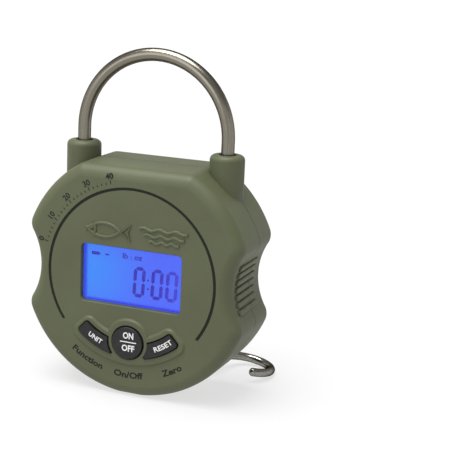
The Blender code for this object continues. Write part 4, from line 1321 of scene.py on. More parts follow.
    def face_cuts(self) -> list[Form]:
        """The window, the ring groove and the openings of the keys.

        Returns:
            The forms to cut the front shell with.
        """
        keys, grow = self.keys, self.window
        window = Form().loft([
            (depth, round_box(grow[0] + more, -grow[1] - more, grow[1] + more, self.window_round + more))
            for depth, more in self.window_edge])
        groove = Form().loft([
            (depth, band(self.groove_radius, self.groove_half * share, 90 - self.groove_end,
                         90 + self.groove_end, 120))
            for depth, share in self.groove_edge])
        power = Form().loft([
            (depth, circle((0, keys.centre_z), keys.power_radius + keys.clear + more))
            for depth, more in self.key_edge])
        cuts = [window, groove, power]
        for hand in (-1, 1):
            hole = Form().loft([(depth, keys.side(hand, keys.clear + more))
                                for depth, more in self.key_edge])
            guard = keys.power_form(keys.power_space - keys.clear, *self.guard_ends)
            trimmed = work(hole.as_object("key_opening"), cuts=[guard])
            cuts.append(as_form(trimmed))
        return cuts

    def back_cuts(self) -> list[Form]:
        """The screws' wells, the battery room, the door's seat and the finger notch.

        Returns:
            The forms to cut the rear shell with.
        """
        depth = self.sizes.depth
        wells, shafts = Form(), Form()
        for x, z in self.mirrored():
            mouth = [(depth + out, more) for out, more in self.well_edge] + [(self.well_floor, 0.0)]
            wells.add(Form().loft([(y, circle((x, z), self.well_radius + more, 40)) for y, more in mouth]))
            shafts.rod((x, self.shaft_front, z), (x, depth, z), self.shaft_space, 24)
        room = Form().box((-self.box_half, self.box_floor, self.box_low),
                          (self.box_half, depth + OVERRUN, self.box_high))
        room.soften(self.box_round, 4, sharp)
        mouth = [(self.door_seat, 0.0)] + [(depth + out, more) for out, more in self.door_edge]
        seat = Form().loft([(y, round_box(self.door_half + more, self.door_low - more,
                                          self.door_high + more, self.door_round + more))
                            for y, more in mouth])
        middle = (depth + self.notch_out, self.door_high - self.notch_down)
        notch = Form().rod((-self.notch_half, *middle), (self.notch_half, *middle),
                           self.notch_radius, 96)
        notch.soften(self.notch_round, 4, sharp)
        barrel = (depth - self.pivot_in, self.door_low + self.pivot_up)
        pivots = Form().rod((-self.pivot_half, *barrel), (self.pivot_half, *barrel),
                            self.pivot_radius, 24)
        return [shafts, wells, room, seat, notch, pivots]

    def build(self) -> None:
        """Make, dress and place both shells."""
        cavity = self.cavity()
        blank = work(self.blank().as_object("case_blank"),
                     joins=[self.collars(), self.ribs(), *self.pads()])
        bush = Form().rod((0, LOAD_Y, self.bay_roof - self.bush_reach),
                          (0, LOAD_Y, self.bay_roof + self.bush_reach), self.bush_space)
        common = [as_form(cavity), self.bay(0.0), bush, *self.rod_ways()]
        closed = work(blank, cuts=common)
        seam = self.sizes.seam
        halves = {
            "front_shell": ([Form().box((-FAR, self.sizes.parting - seam, -FAR), (FAR, FAR, FAR))],
                            self.face_cuts),
            "rear_shell": ([Form().box((-FAR, -FAR, -FAR), (FAR, self.sizes.parting + seam, FAR))],
                           self.back_cuts),
        }
        for name, (limit, cuts) in halves.items():
            shell = closed.copy()
            shell.data = closed.data.copy()
            shell.name = f"{name}_moulding"
            bpy.context.scene.collection.objects.link(shell)
            work(shell, cuts=limit + cuts())
            place_mesh(shell, DIAL)
            dress(shell, self.finish, Body.CASE, [name])
        bpy.data.objects.remove(closed, do_unlink=True)


def as_form(thing: bpy.types.Object) -> Form:
    """Turn an object back into a form, and remove the object.

    Args:
        thing: The object.

    Returns:
        The form, holding its mesh.
    """
    form = Form()
    form.bm.from_mesh(thing.data)
    bpy.data.objects.remove(thing, do_unlink=True)
    return form


# ---------------------------------------------------------------- lettering and relief

@dataclass(frozen=True)
class Lettering:
    """Flat printed words, in metres."""

    words: str
    height: float
    weight: float = 0.012
    thickness: float = 0.04 * MM
    stretch: float = 1.0

    def mesh(self, name: str) -> bpy.types.Object:
        """The words as a mesh in the XZ plane, centred, facing -Y.

        Args:
            name: The piece's name.

        Returns:
            The words.
        """
        curve = bpy.data.curves.new(name, "FONT")
        curve.body = self.words
        curve.size = self.height * 1.4
        curve.offset = self.weight * curve.size
        curve.extrude = self.thickness / 2
        curve.align_x = "CENTER"
        curve.align_y = "CENTER"
        curve.resolution_u = 3
        mesh = melted(linked(name, curve))
        mesh.transform(Matrix.Rotation(math.pi / 2, 4, "X") @ Matrix.Diagonal((self.stretch, 1, 1, 1)))
        return linked(name, mesh)

    def on_arc(self, name: str, radius: float, angle: float, depth: float, foot_out: bool = True
               ) -> bpy.types.Object:
        """The words bent round the dial's centre.

        Args:
            name: The piece's name.
            radius: Radius of the words' middle line.
            angle: Where their middle is, in degrees from straight down, or from straight up
                when foot_out is false.
            depth: Y of their face.
            foot_out: Whether the letters' feet point away from the centre.

        Returns:
            The bent words, in the dial's frame.
        """
        made = self.mesh(name)
        sense = 1 if foot_out else -1
        for vert in made.data.vertices:
            turn = math.radians(angle) + vert.co.x / radius
            reach = radius - sense * vert.co.z
            vert.co = (reach * math.sin(turn), depth + vert.co.y, -sense * reach * math.cos(turn))
        return made


@dataclass
class FacePrint:
    """The dark words and graduations on the face, and the raised mark over the display."""

    ink: bpy.types.Material
    shell: bpy.types.Material
    lift: float = -0.02 * MM
    words: tuple[tuple[str, float], ...] = (("Function", -26.8), ("On/Off", 0.2), ("Zero", 28.6))
    letter_height: float = 2.9 * MM
    letter_weight: float = 0.032
    letter_stretch: float = 1.22
    word_radius: float = 46.2 * MM
    tick_radius: float = 43.6 * MM
    tick_count: int = 21
    tick_span: Point = (-74.0, -14.0)
    tick_half: float = 0.22 * MM
    tick_thickness: float = 0.06 * MM
    tick_long: float = 1.9 * MM
    tick_short: float = 1.1 * MM
    numbers: tuple[str, ...] = ("0", "10", "20", "30", "40")
    number_height: float = 2.7 * MM
    number_weight: float = 0.026
    number_out: float = 3.5 * MM
    line_half: float = 0.60 * MM
    line_end: float = 124.9
    line_depth: float = 0.45 * MM
    line_thickness: float = 0.4 * MM
    bead: float = 0.85 * MM
    bead_depth: float = 0.12 * MM
    fish_x: float = -13.5 * MM
    fish_z: float = 21.0 * MM
    fish_bend: float = 11.6 * MM
    fish_rise: float = 8.4 * MM
    fish_tail: tuple[Point, ...] = ((8.6 * MM, 0.0), (13.1 * MM, 3.4 * MM), (11.6 * MM, 0.0),
                                    (13.1 * MM, -3.4 * MM))
    gill_x: float = -8.9 * MM
    gill_bend: float = 4.6 * MM
    eye: Point = (-6.1 * MM, 0.9 * MM)
    eye_radius: float = 0.55 * MM
    ripples: tuple[Point, ...] = ((4.0, 27.5), (6.5, 26.0), (9.0, 23.5))
    ripple_top: float = 23.8
    ripple_pitch: float = 2.8
    ripple_height: float = 0.55

    def build(self) -> None:
        """Print the words and ticks, and raise the mark."""
        # a dark strip in the ring groove, painted shade for the groove's shadow
        self.paint_groove_shade()
        for words, angle in self.words:
            name = f"print_{words.lower().replace('/', '_')}"
            made = Lettering(words, self.letter_height, self.letter_weight,
                             stretch=self.letter_stretch).on_arc(name, self.word_radius, angle, self.lift)
            dress(place_mesh(made, DIAL), self.ink, Body.CASE)
        self.ticks()
        self.mark()

    def ticks(self) -> None:
        """Graduations with numbers, outside the ring's upper left."""
        form = Form()
        start, end = self.tick_span
        intervals = self.tick_count - 1
        numbered = intervals // (len(self.numbers) - 1)
        for index in range(self.tick_count):
            angle = math.radians(start + (end - start) * index / intervals)
            length = self.tick_short if index % numbered else self.tick_long
            bar = Form().box((-self.tick_half, self.lift, 0),
                             (self.tick_half, self.lift + self.tick_thickness, length))
            turn = Matrix.Rotation(angle, 4, "Y") @ Matrix.Translation((0, 0, self.tick_radius))
            form.add(bar.move(turn))
        dress(place_mesh(form.as_object("print_ticks"), DIAL), self.ink, Body.CASE)
        for index, number in enumerate(self.numbers):
            angle = start + (end - start) * index * numbered / intervals
            made = Lettering(number, self.number_height, self.number_weight).on_arc(
                f"print_number_{number}", self.tick_radius + self.number_out, angle, self.lift,
                foot_out=False)
            dress(place_mesh(made, DIAL), self.ink, Body.CASE)

    def paint_groove_shade(self) -> None:
        """A dark strip at the bottom of the ring groove: painted shade that stands in for the groove's deep
        shadow.
        """
        outline = band(Shells.groove_radius, self.line_half, 90 - self.line_end, 90 + self.line_end, 120)
        # dark ink strip inside the groove, painted shade rather than a real inlay
        line = Form().loft([(self.line_depth, outline), (self.line_depth + self.line_thickness, outline)])
        dress(place_mesh(line.as_object("ring_inlay"), DIAL), self.ink, Body.CASE)

    def mark(self) -> None:
        """A plain fish outline and three ripples, raised as round beads."""
        x, z = self.fish_x, self.fish_z
        body = (arc((x, z - self.fish_rise), self.fish_bend, 42, 138, 22)
                + arc((x, z + self.fish_rise), self.fish_bend, 222, 318, 22)[:-1])
        tail = [(x + across, z + up) for across, up in self.fish_tail]
        gill = arc((x + self.gill_x, z), self.gill_bend, -38, 38, 8)
        strokes = {"body": (body, True), "tail": (tail, True), "gill": (gill, False),
                   "eye": (circle((x + self.eye[0], z + self.eye[1]), self.eye_radius, 12), True)}
        steps = 40
        for row, (start, end) in enumerate(self.ripples):
            wave = []
            for index in range(steps + 1):
                share = index / steps
                height = (self.ripple_top - self.ripple_pitch * row
                          + self.ripple_height * math.sin(share * 6 * math.pi))
                wave.append(((start + (end - start) * share) * MM, height * MM))
            strokes[f"ripple_{row + 1}"] = (wave, False)
        for name, (points, closed) in strokes.items():
            curve = bpy.data.curves.new(f"mark_{name}", "CURVE")
            curve.dimensions = "3D"
            curve.bevel_depth = self.bead
            curve.bevel_resolution = 3
            curve.use_fill_caps = not closed
            spline = curve.splines.new("POLY")
            spline.points.add(len(points) - 1)
            for point, (x, z) in zip(spline.points, points):
                point.co = (x, self.bead_depth, z, 1.0)
            spline.use_cyclic_u = closed
            made = linked(f"raised_{name}", melted(linked(curve.name, curve)))
            dress(place_mesh(made, DIAL), self.shell, Body.CASE, crease=60)


# ---------------------------------------------------------------- keys and display

@dataclass
class Keys:
    """The three keys with their white legends."""

    sizes: KeySizes
    rubber: bpy.types.Material
    ink: bpy.types.Material
    top_round: float = 0.55 * MM
    overlap: float = 0.4 * MM
    lift: float = 0.02 * MM
    side_height: float = 2.3 * MM
    side_weight: float = 0.02
    side_out: float = 0.1 * MM
    power_height: float = 2.95 * MM
    power_weight: float = 0.025
    power_x: float = 0.75 * MM
    bar_low: Point = (-3.3 * MM, 0.45 * MM)
    bar_high: Point = (4.8 * MM, 0.9 * MM)

    def cap(self, outline: Outline, flange: Outline, name: str, cut: bool) -> bpy.types.Object:
        """One key from its outline and its flange's, trimmed round the power key if asked.

        Args:
            outline: The key's outline.
            flange: Its flange's outline.
            name: The piece's name.
            cut: Whether the power key's circle is cut from it.

        Returns:
            The key.
        """
        keys = self.sizes
        body = Form().loft([(-keys.proud, outline), (keys.flange_front + self.overlap, outline)])
        plate = Form().loft([(keys.flange_front, flange), (keys.back, flange)])
        cuts = [keys.power_form(keys.power_space, -keys.proud - OVERRUN, keys.back + OVERRUN)] if cut else []
        key = work(body.as_object(name), joins=[plate], cuts=cuts)
        form = Form()
        form.bm.from_mesh(key.data)
        front = [face for face in form.bm.faces if level(1, -keys.proud)(face)]
        rim = {edge for face in front for edge in face.edges if len(
            [other for other in edge.link_faces if other in front]) == 1}
        form.soften(self.top_round, 5, lambda edge: edge in rim)
        form.bm.to_mesh(key.data)
        form.bm.free()
        return key

    def build(self) -> None:
        """Make the keys and print their legends."""
        keys = self.sizes
        centre = (0, keys.centre_z)
        caps = {
            "power": (circle(centre, keys.power_radius),
                      circle(centre, keys.power_radius + keys.flange), Body.POWER_KEY, False),
            "unit": (keys.side(-1), keys.side(-1, keys.flange), Body.UNIT_KEY, True),
            "reset": (keys.side(1), keys.side(1, keys.flange), Body.RESET_KEY, True),
        }
        for name, (outline, flange, body, cut) in caps.items():
            key = self.cap(outline, flange, f"{name}_key_cap", cut)
            dress(place_mesh(key, DIAL), self.rubber, body, [f"{name}_button"])
        face = -keys.proud - self.lift
        middle = (keys.inner + keys.outer) / 2 + self.side_out
        for words, angle, stretch, body in (("UNIT", -28.0, 1.0, Body.UNIT_KEY),
                                            ("RESET", 32.0, 1.2, Body.RESET_KEY)):
            made = Lettering(words, self.side_height, self.side_weight, stretch=stretch).on_arc(
                f"legend_{words.lower()}", middle, angle, face)
            dress(place_mesh(made, DIAL), self.ink, body)
        for words, height, stretch in (("ON", 3.55, 0.82), ("OFF", -2.4, 0.88)):
            made = Lettering(words, self.power_height, self.power_weight, stretch=stretch).mesh(
                f"legend_{words.lower()}")
            made.data.transform(Matrix.Translation((self.power_x, face, keys.centre_z + height * MM)))
            dress(place_mesh(made, DIAL), self.ink, Body.POWER_KEY)
        bar = Form().box((self.bar_low[0], face - self.lift, keys.centre_z + self.bar_low[1]),
                         (self.bar_high[0], face + self.lift, keys.centre_z + self.bar_high[1]))
        dress(place_mesh(bar.as_object("legend_bar"), DIAL), self.ink, Body.POWER_KEY)


@dataclass
class Display:
    """The lit panel's marks: seven-segment figures, a cell sign and the units."""

    mark: bpy.types.Material
    faint: bpy.types.Material
    digit_width: float = 5.9 * MM
    digit_height: float = 14.4 * MM
    stroke: float = 1.65 * MM
    lean: float = 0.045
    figures: tuple[float, ...] = (2.75 * MM, 11.65 * MM, 18.9 * MM)
    colon_x: float = 7.2 * MM
    colon_heights: Point = (1.5 * MM, -2.6 * MM)
    colon_radius: float = 0.5 * MM
    middle_z: float = -2.3 * MM
    gap: float = 0.35 * MM
    forward: float = 0.12 * MM
    thickness: float = 0.06 * MM
    signs: tuple[tuple[float, ...], ...] = ((-21.4, -17.6, 7.8, 9.3), (-17.5, -17.0, 8.2, 8.9),
                                            (-14.6, -12.6, 8.2, 8.9))
    units_place: Point = (-1.0 * MM, 9.0 * MM)
    units_height: float = 2.6 * MM

    def face_y(self) -> float:
        """Y of the marks, just in front of the panel, in the dial's frame."""
        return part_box("lcd_panel")[0][1] - DIAL.translation.y - self.forward

    def bar(self, centre: Point, length: float, upright: bool) -> Form:
        """One segment: a thin bar with pointed ends.

        Args:
            centre: Its middle, before the lean.
            length: Its length.
            upright: Whether it stands up.

        Returns:
            The form.
        """
        half, tip = self.stroke / 2, length / 2
        points = [(-tip, 0), (half - tip, -half), (tip - half, -half), (tip, 0),
                  (tip - half, half), (half - tip, half)]
        if upright:
            points = [(z, x) for x, z in points]
        placed = [(x + centre[0] + self.lean * (z + centre[1]), z + centre[1]) for x, z in points]
        return self.film(placed)

    def film(self, outline: Outline) -> Form:
        """A thin film of an outline, on the panel's face."""
        depth = self.face_y()
        return Form().loft([(depth, outline), (depth + self.thickness, outline)])

    def digit(self, centre_x: float, centre_z: float) -> tuple[Form, Form]:
        """The lit segments of a nought, and its unlit middle one.

        Args:
            centre_x: The digit's middle across.
            centre_z: Its middle's height.

        Returns:
            The lit form and the unlit one.
        """
        across = self.digit_width / 2 - self.stroke / 2
        up = self.digit_height / 2 - self.stroke / 2
        lit = Form()
        for side in (-1, 1):
            lit.add(self.bar((0, side * up), self.digit_width - self.stroke - self.gap, False))
            for half in (-1, 1):
                lit.add(self.bar((side * across, half * up / 2), up - self.gap, True))
        unlit = self.bar((0, 0), self.digit_width - self.stroke - self.gap, False)
        move = Matrix.Translation((centre_x, 0, centre_z))
        return lit.move(move), unlit.move(move)

    def build(self) -> None:
        """Place every mark on the panel."""
        figures, ghosts = Form(), Form()
        for centre_x in self.figures:
            lit, unlit = self.digit(centre_x, self.middle_z)
            figures.add(lit)
            ghosts.add(unlit)
        depth = self.face_y()
        for height in self.colon_heights:
            figures.add(self.film(circle((self.colon_x, self.middle_z + height), self.colon_radius, 16)))
        dress(place_mesh(figures.as_object("lcd_figures"), DIAL), self.mark, Body.CASE)
        dress(place_mesh(ghosts.as_object("lcd_unlit"), DIAL), self.faint, Body.CASE)
        signs = Form()
        for low_x, high_x, low_z, high_z in self.signs:
            signs.box((low_x * MM, depth, low_z * MM), (high_x * MM, depth + self.thickness, high_z * MM))
        dress(place_mesh(signs.as_object("lcd_signs"), DIAL), self.mark, Body.CASE)
        units = Lettering("lb : oz", self.units_height, weight=0.024, stretch=1.1).mesh("lcd_units")
        units.data.transform(Matrix.Translation((self.units_place[0], depth, self.units_place[1])))
        dress(place_mesh(units, DIAL), self.mark, Body.CASE)


# ---------------------------------------------------------------- handle and hook

@dataclass
class Handle:
    """The bent rod and the seals round its legs."""

    steel: bpy.types.Material
    rubber: bpy.types.Material
    radius: float = 3.0 * MM
    spring_z: float = 63.2 * MM
    end_z: float = -26.0 * MM
    seal_z: float = 56.7 * MM
    seal_shape: tuple[Point, ...] = ((3.3 * MM, -0.25 * MM), (3.6 * MM, 0.0), (3.8 * MM, 0.0),
                                     (4.0 * MM, -0.3 * MM), (4.0 * MM, -2.6 * MM), (3.3 * MM, -2.6 * MM))

    def build(self) -> None:
        """Sweep the rod by a spin between two straight legs, and turn the seals."""
        form = Form()
        start = Matrix.Translation((Shells.leg_x, LOAD_Y, self.end_z))
        ring = bmesh.ops.create_circle(form.bm, cap_ends=True, radius=self.radius, segments=48,
                                       matrix=start)["verts"]
        geometry = ring + list({edge for vert in ring for edge in vert.link_edges})
        geometry += list({face for vert in ring for face in vert.link_faces})
        rise = (0, 0, self.spring_z - self.end_z)
        extruded = bmesh.ops.extrude_face_region(form.bm, geom=geometry, use_keep_orig=True)["geom"]
        verts = [item for item in extruded if isinstance(item, bmesh.types.BMVert)]
        bmesh.ops.translate(form.bm, verts=verts, vec=rise)
        arch = bmesh.ops.spin(form.bm, geom=extruded, cent=(0, LOAD_Y, self.spring_z), axis=(0, -1, 0),
                              angle=math.pi, steps=72)["geom_last"]
        last = bmesh.ops.extrude_face_region(form.bm, geom=arch)["geom"]
        verts = [item for item in last if isinstance(item, bmesh.types.BMVert)]
        bmesh.ops.translate(form.bm, verts=verts, vec=tuple(-part for part in rise))
        inner = [face for face in form.bm.faces if len(face.verts) > 4
                 and not level(2, self.end_z)(face)]
        bmesh.ops.delete(form.bm, geom=inner, context="FACES_ONLY")
        bmesh.ops.remove_doubles(form.bm, verts=form.bm.verts, dist=WELD)
        form.face_out()
        rod = place_mesh(form.as_object("handle_bar"), DIAL)
        dress(rod, self.steel, Body.CASE, ["handle_rod"], crease=50)
        for side, name in ((-1, "left"), (1, "right")):
            seal = Form().turn(self.seal_shape)
            seal.move(Matrix.Translation((side * Shells.leg_x, LOAD_Y, self.seal_z)))
            dress(place_mesh(seal.as_object(f"leg_seal_{name}"), DIAL), self.rubber, Body.CASE,
                  [f"rod_seal_{name}"])


@dataclass
class HookSet:
    """The hook, its pin and the swivel fork, in the frame of the pin."""

    steel: bpy.types.Material
    wire: float = 2.05 * MM
    bowl_radius: float = 12.0 * MM
    bowl_from_pin: tuple[float, float, float] = (39.0 * MM, 32.4 * MM, -10.0 * MM)
    tip_angle: float = -8.0
    straight: float = 0.48
    eye_radius: float = 4.1 * MM
    eye_width: float = 3.6 * MM
    eye_round: float = 0.5 * MM
    pin_radius: float = 1.6 * MM
    clevis_radius: float = 4.4 * MM
    clevis_top: float = 6.8 * MM
    ear: float = 2.0 * MM
    fork_round: float = 0.55 * MM
    stem_radius: float = 4.0 * MM
    stem_round: float = 0.6 * MM
    stem_lap: float = 1.0 * MM
    neck: Point = (2.4 * MM, 7.5 * MM)
    neck_swell: float = 1.12
    neck_round: float = 0.25 * MM
    head_radius: float = 2.3 * MM
    head_dome: tuple[Point, ...] = ((0.0, 0.6 * MM), (0.5, 0.56 * MM), (0.85, 0.4 * MM), (1.0, 0.12 * MM))
    gap: float = 0.3 * MM

    @property
    def length(self) -> float:
        """From the pin to the bowl's centre."""
        return Vector(self.bowl_from_pin).length

    def swivel_frame(self) -> Matrix:
        """The pin's frame with Z upright and +Y along the folded hook."""
        heading = math.atan2(PIN_AXIS.x, -PIN_AXIS.y)
        return Matrix.Translation(PIN) @ Matrix.Rotation(heading - math.pi / 2, 4, "Z")

    def fold_frame(self) -> Matrix:
        """The swivel's frame pitched down to the folded hook."""
        pitch = math.asin(self.bowl_from_pin[2] / self.length)
        return self.swivel_frame() @ Matrix.Rotation(pitch, 4, "X")

    def centreline(self) -> list[tuple[float, float, float]]:
        """The wire's middle, from the eye along +Y, round the bowl to the tip.

        Returns:
            Its points.
        """
        bend = self.length * self.straight
        steps = 32
        points = [(0.0, self.eye_radius * 0.45, 0.0), (0.0, bend * 0.7, 0.0)]
        for index in range(steps):
            share = index / steps
            offset = self.bowl_radius * (1 - math.cos(math.pi * share)) / 2
            points.append((-offset, bend + (self.length - bend) * share, 0.0))
        bowl = arc((0, self.length), self.bowl_radius, 180, self.tip_angle, 72)
        return points + [(x, y, 0.0) for x, y in bowl]

    def hook(self) -> bpy.types.Object:
        """The wire with a rounded tip and a forged, drilled eye.

        Returns:
            The hook, in the fold frame.
        """
        points = self.centreline()
        curve = bpy.data.curves.new("hook_bend", "CURVE")
        curve.dimensions = "3D"
        curve.bevel_depth = self.wire
        curve.bevel_resolution = 8
        curve.use_fill_caps = True
        spline = curve.splines.new("POLY")
        end = Vector(points[-1])
        along = (end - Vector(points[-2])).normalized()
        round_steps = 8
        tip = []
        for index in range(1, round_steps + 1):
            angle = math.pi / 2 * index / round_steps * 0.97
            tip.append((end + along * self.wire * 0.8 * math.sin(angle), math.cos(angle)))
        spline.points.add(len(points) + len(tip) - 1)
        for point, place in zip(spline.points, points):
            point.co = (*place, 1.0)
        for point, (place, share) in zip(spline.points[len(points):], tip):
            point.co = (*place, 1.0)
            point.radius = share
        form = Form()
        form.bm.from_mesh(melted(linked("hook_bend", curve)))
        bmesh.ops.remove_doubles(form.bm, verts=form.bm.verts, dist=TOUCH)
        form.face_out()
        half = self.eye_width / 2
        eye = Form().rod((-half, 0, 0), (half, 0, 0), self.eye_radius, 64)
        eye.soften(self.eye_round, 4, sharp)
        neck = Form().rod((0, self.neck[0], 0), (0, self.neck[1], 0), self.wire * self.neck_swell, 48)
        neck.soften(self.neck_round, 3, sharp)
        return work(form.as_object("hook_bent_wire"), joins=[eye, neck], cuts=[self.drill()])

    def drill(self) -> Form:
        """The pin's hole, along X."""
        return Form().rod((-FAR, 0, 0), (FAR, 0, 0), self.pin_radius + self.gap, 40)

    def fork(self) -> bpy.types.Object:
        """The swivel bolt: a fork with a stem up through the case.

        Returns:
            The fork, in the swivel frame.
        """
        slot_half = self.eye_width / 2 + self.gap
        half = slot_half + self.ear
        side = arc((0, 0), self.clevis_radius, -180, 0, 40)
        side += [(self.clevis_radius, self.clevis_top), (-self.clevis_radius, self.clevis_top)]
        block = Form().loft([(-half, side), (half, side)])
        block.soften(self.fork_round, 4, sharp)
        block.move(Matrix.Rotation(math.pi / 2, 4, "Z"))
        slot = Form().box((-slot_half, -FAR, -FAR), (slot_half, FAR, self.eye_radius + 2 * self.gap))
        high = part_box("swivel_bolt")[1][2] - PIN.z
        stem = Form().rod((0, 0, self.clevis_top - self.stem_lap), (0, 0, high), self.stem_radius, 48)
        stem.soften(self.stem_round, 3, sharp)
        return work(block.as_object("swivel_fork"), joins=[stem], cuts=[slot, self.drill()])

    def pin(self) -> bpy.types.Object:
        """The riveted pin with low domed heads.

        Returns:
            The pin, in the swivel frame.
        """
        end = self.eye_width / 2 + 2 * self.gap + self.ear
        head = self.head_radius
        profile = [(head * share, end + rise) for share, rise in self.head_dome]
        profile += [(head, end), (self.pin_radius, end)]
        mirrored = [(radius, -height) for radius, height in reversed(profile)]
        form = Form().turn(profile + mirrored, 48)
        return form.move(Matrix.Rotation(math.pi / 2, 4, "Y")).as_object("hook_rivet")

    def build(self) -> None:
        """Make, place and dress the three."""
        dress(place_mesh(self.hook(), self.fold_frame()), self.steel, Body.HOOK, ["hook"],
              crease=40)
        dress(place_mesh(self.fork(), self.swivel_frame()), self.steel, Body.SWIVEL, ["swivel_bolt"])
        dress(place_mesh(self.pin(), self.swivel_frame()), self.steel, Body.SWIVEL, ["hook_pin"])


# ---------------------------------------------------------------- back of the case

@dataclass
class BatteryLid:
    """The battery door with its grip grooves and latch, in the frame of its hinge."""

    finish: bpy.types.Material
    half_width: float = 27.65 * MM
    thickness: float = 1.7 * MM
    top: float = 25.45 * MM
    edge_round: float = 0.3 * MM
    stub: float = 0.55 * MM
    stub_reach: float = 1.0 * MM
    latch_half: float = 5.0 * MM
    latch_reach: float = 2.2 * MM
    latch_low: float = 23.0 * MM
    latch_high: float = 23.8 * MM
    latch_round: float = 0.2 * MM
    ridges: int = 5
    ridge_half: float = 7.0 * MM
    ridge_low: float = 12.0 * MM
    ridge_pitch: float = 1.9 * MM
    ridge_width: float = 0.8 * MM
    ridge_depth: float = 0.25 * MM

    def build(self) -> None:
        """Loft the plate along X, add stubs and a latch, and cut the grooves between ridges."""
        barrel = self.thickness / 2
        section = arc((0, 0), barrel, 180, 360, 20)
        section += [(barrel, self.top), (-barrel, self.top)]
        plate = Form().loft([(-self.half_width, section), (self.half_width, section)])
        plate.soften(self.edge_round, 3, lambda edge: sharp(edge, 60))
        plate.move(Matrix.Rotation(math.pi / 2, 4, "Z"))
        reach = self.half_width + self.stub_reach
        stubs = Form().rod((-reach, 0, 0), (reach, 0, 0), self.stub, 24)
        latch = Form().box((-self.latch_half, -barrel - self.latch_reach, self.latch_low),
                           (self.latch_half, -barrel / 2, self.latch_high))
        latch.soften(self.latch_round, 2, lambda edge: True)
        grips = Form()
        for index in range(self.ridges):
            height = self.ridge_low + self.ridge_pitch * index
            grips.box((-self.ridge_half, barrel - self.ridge_depth, height),
                      (self.ridge_half, barrel + OVERRUN, height + self.ridge_width))
        lid = work(plate.as_object("battery_lid"), joins=[stubs, latch], cuts=[grips])
        place_mesh(lid, Matrix.Translation(joint("battery_lid_hinge")["pos_m"]))
        dress(lid, self.finish, Body.LID, ["battery_door"])


@dataclass
class CaseScrews:
    """The case screws, with a cross cut in each head."""

    steel: bpy.types.Material
    places: list[Point]
    head_radius: float = 2.7 * MM
    head_height: float = 1.9 * MM
    shank: float = 1.2 * MM
    head_back: float = 37.6 * MM
    tip_y: float = 6.0 * MM
    tip_taper: float = 0.8 * MM
    cross_long: float = 1.55 * MM
    cross_half: float = 0.34 * MM
    cross_depth: float = 0.95 * MM
    turn_step: float = 0.7

    def build(self) -> None:
        """Turn one screw for each boss."""
        base = self.head_back - self.head_height
        for index, (x, z) in enumerate(self.places, start=1):
            head = self.head_radius
            profile = [(0.0, self.head_height), (head * 0.45, self.head_height * 0.97),
                       (head * 0.8, self.head_height * 0.82), (head * 0.97, self.head_height * 0.5),
                       (head, self.head_height * 0.2), (head * 0.96, 0.0), (self.shank, 0.0),
                       (self.shank, self.tip_y - base + self.tip_taper), (0.0, self.tip_y - base)]
            screw = Form().turn(profile, 40).as_object(f"cross_screw_{index}")
            cuts = [Form().box((-wide, -tall, self.head_height - self.cross_depth),
                               (wide, tall, self.head_height + OVERRUN))
                    for wide, tall in ((self.cross_long, self.cross_half),
                                       (self.cross_half, self.cross_long))]
            work(screw, cuts=cuts)
            turn = Matrix.Rotation(-math.pi / 2, 4, "X") @ Matrix.Rotation(index * self.turn_step, 4, "Z")
            place_mesh(screw, DIAL @ Matrix.Translation((x, base, z)) @ turn)
            dress(screw, self.steel, Body.CASE, [f"case_screw_{index}"])


# ---------------------------------------------------------------- carried-over pieces

class InnerWorks:
    """Finishes for the CAD pieces that stay as they are."""

    def __init__(self, finishes: Mapping[str, bpy.types.Material]) -> None:
        """Take the finish of each material slot."""
        self.finishes = finishes

    def build(self) -> None:
        """Give each shown CAD node the finish of its slot."""
        slots = {row["node"]: row["material_slot"] for row in frame["record"]["subparts"]}
        for name, node in frame["nodes"].items():
            material = self.finishes[slots[name]]
            for place in node.material_slots:
                place.material = material
            LOG.info("%-22s keeps its CAD mesh, finish %s", name, material.name)


# ---------------------------------------------------------------- studio

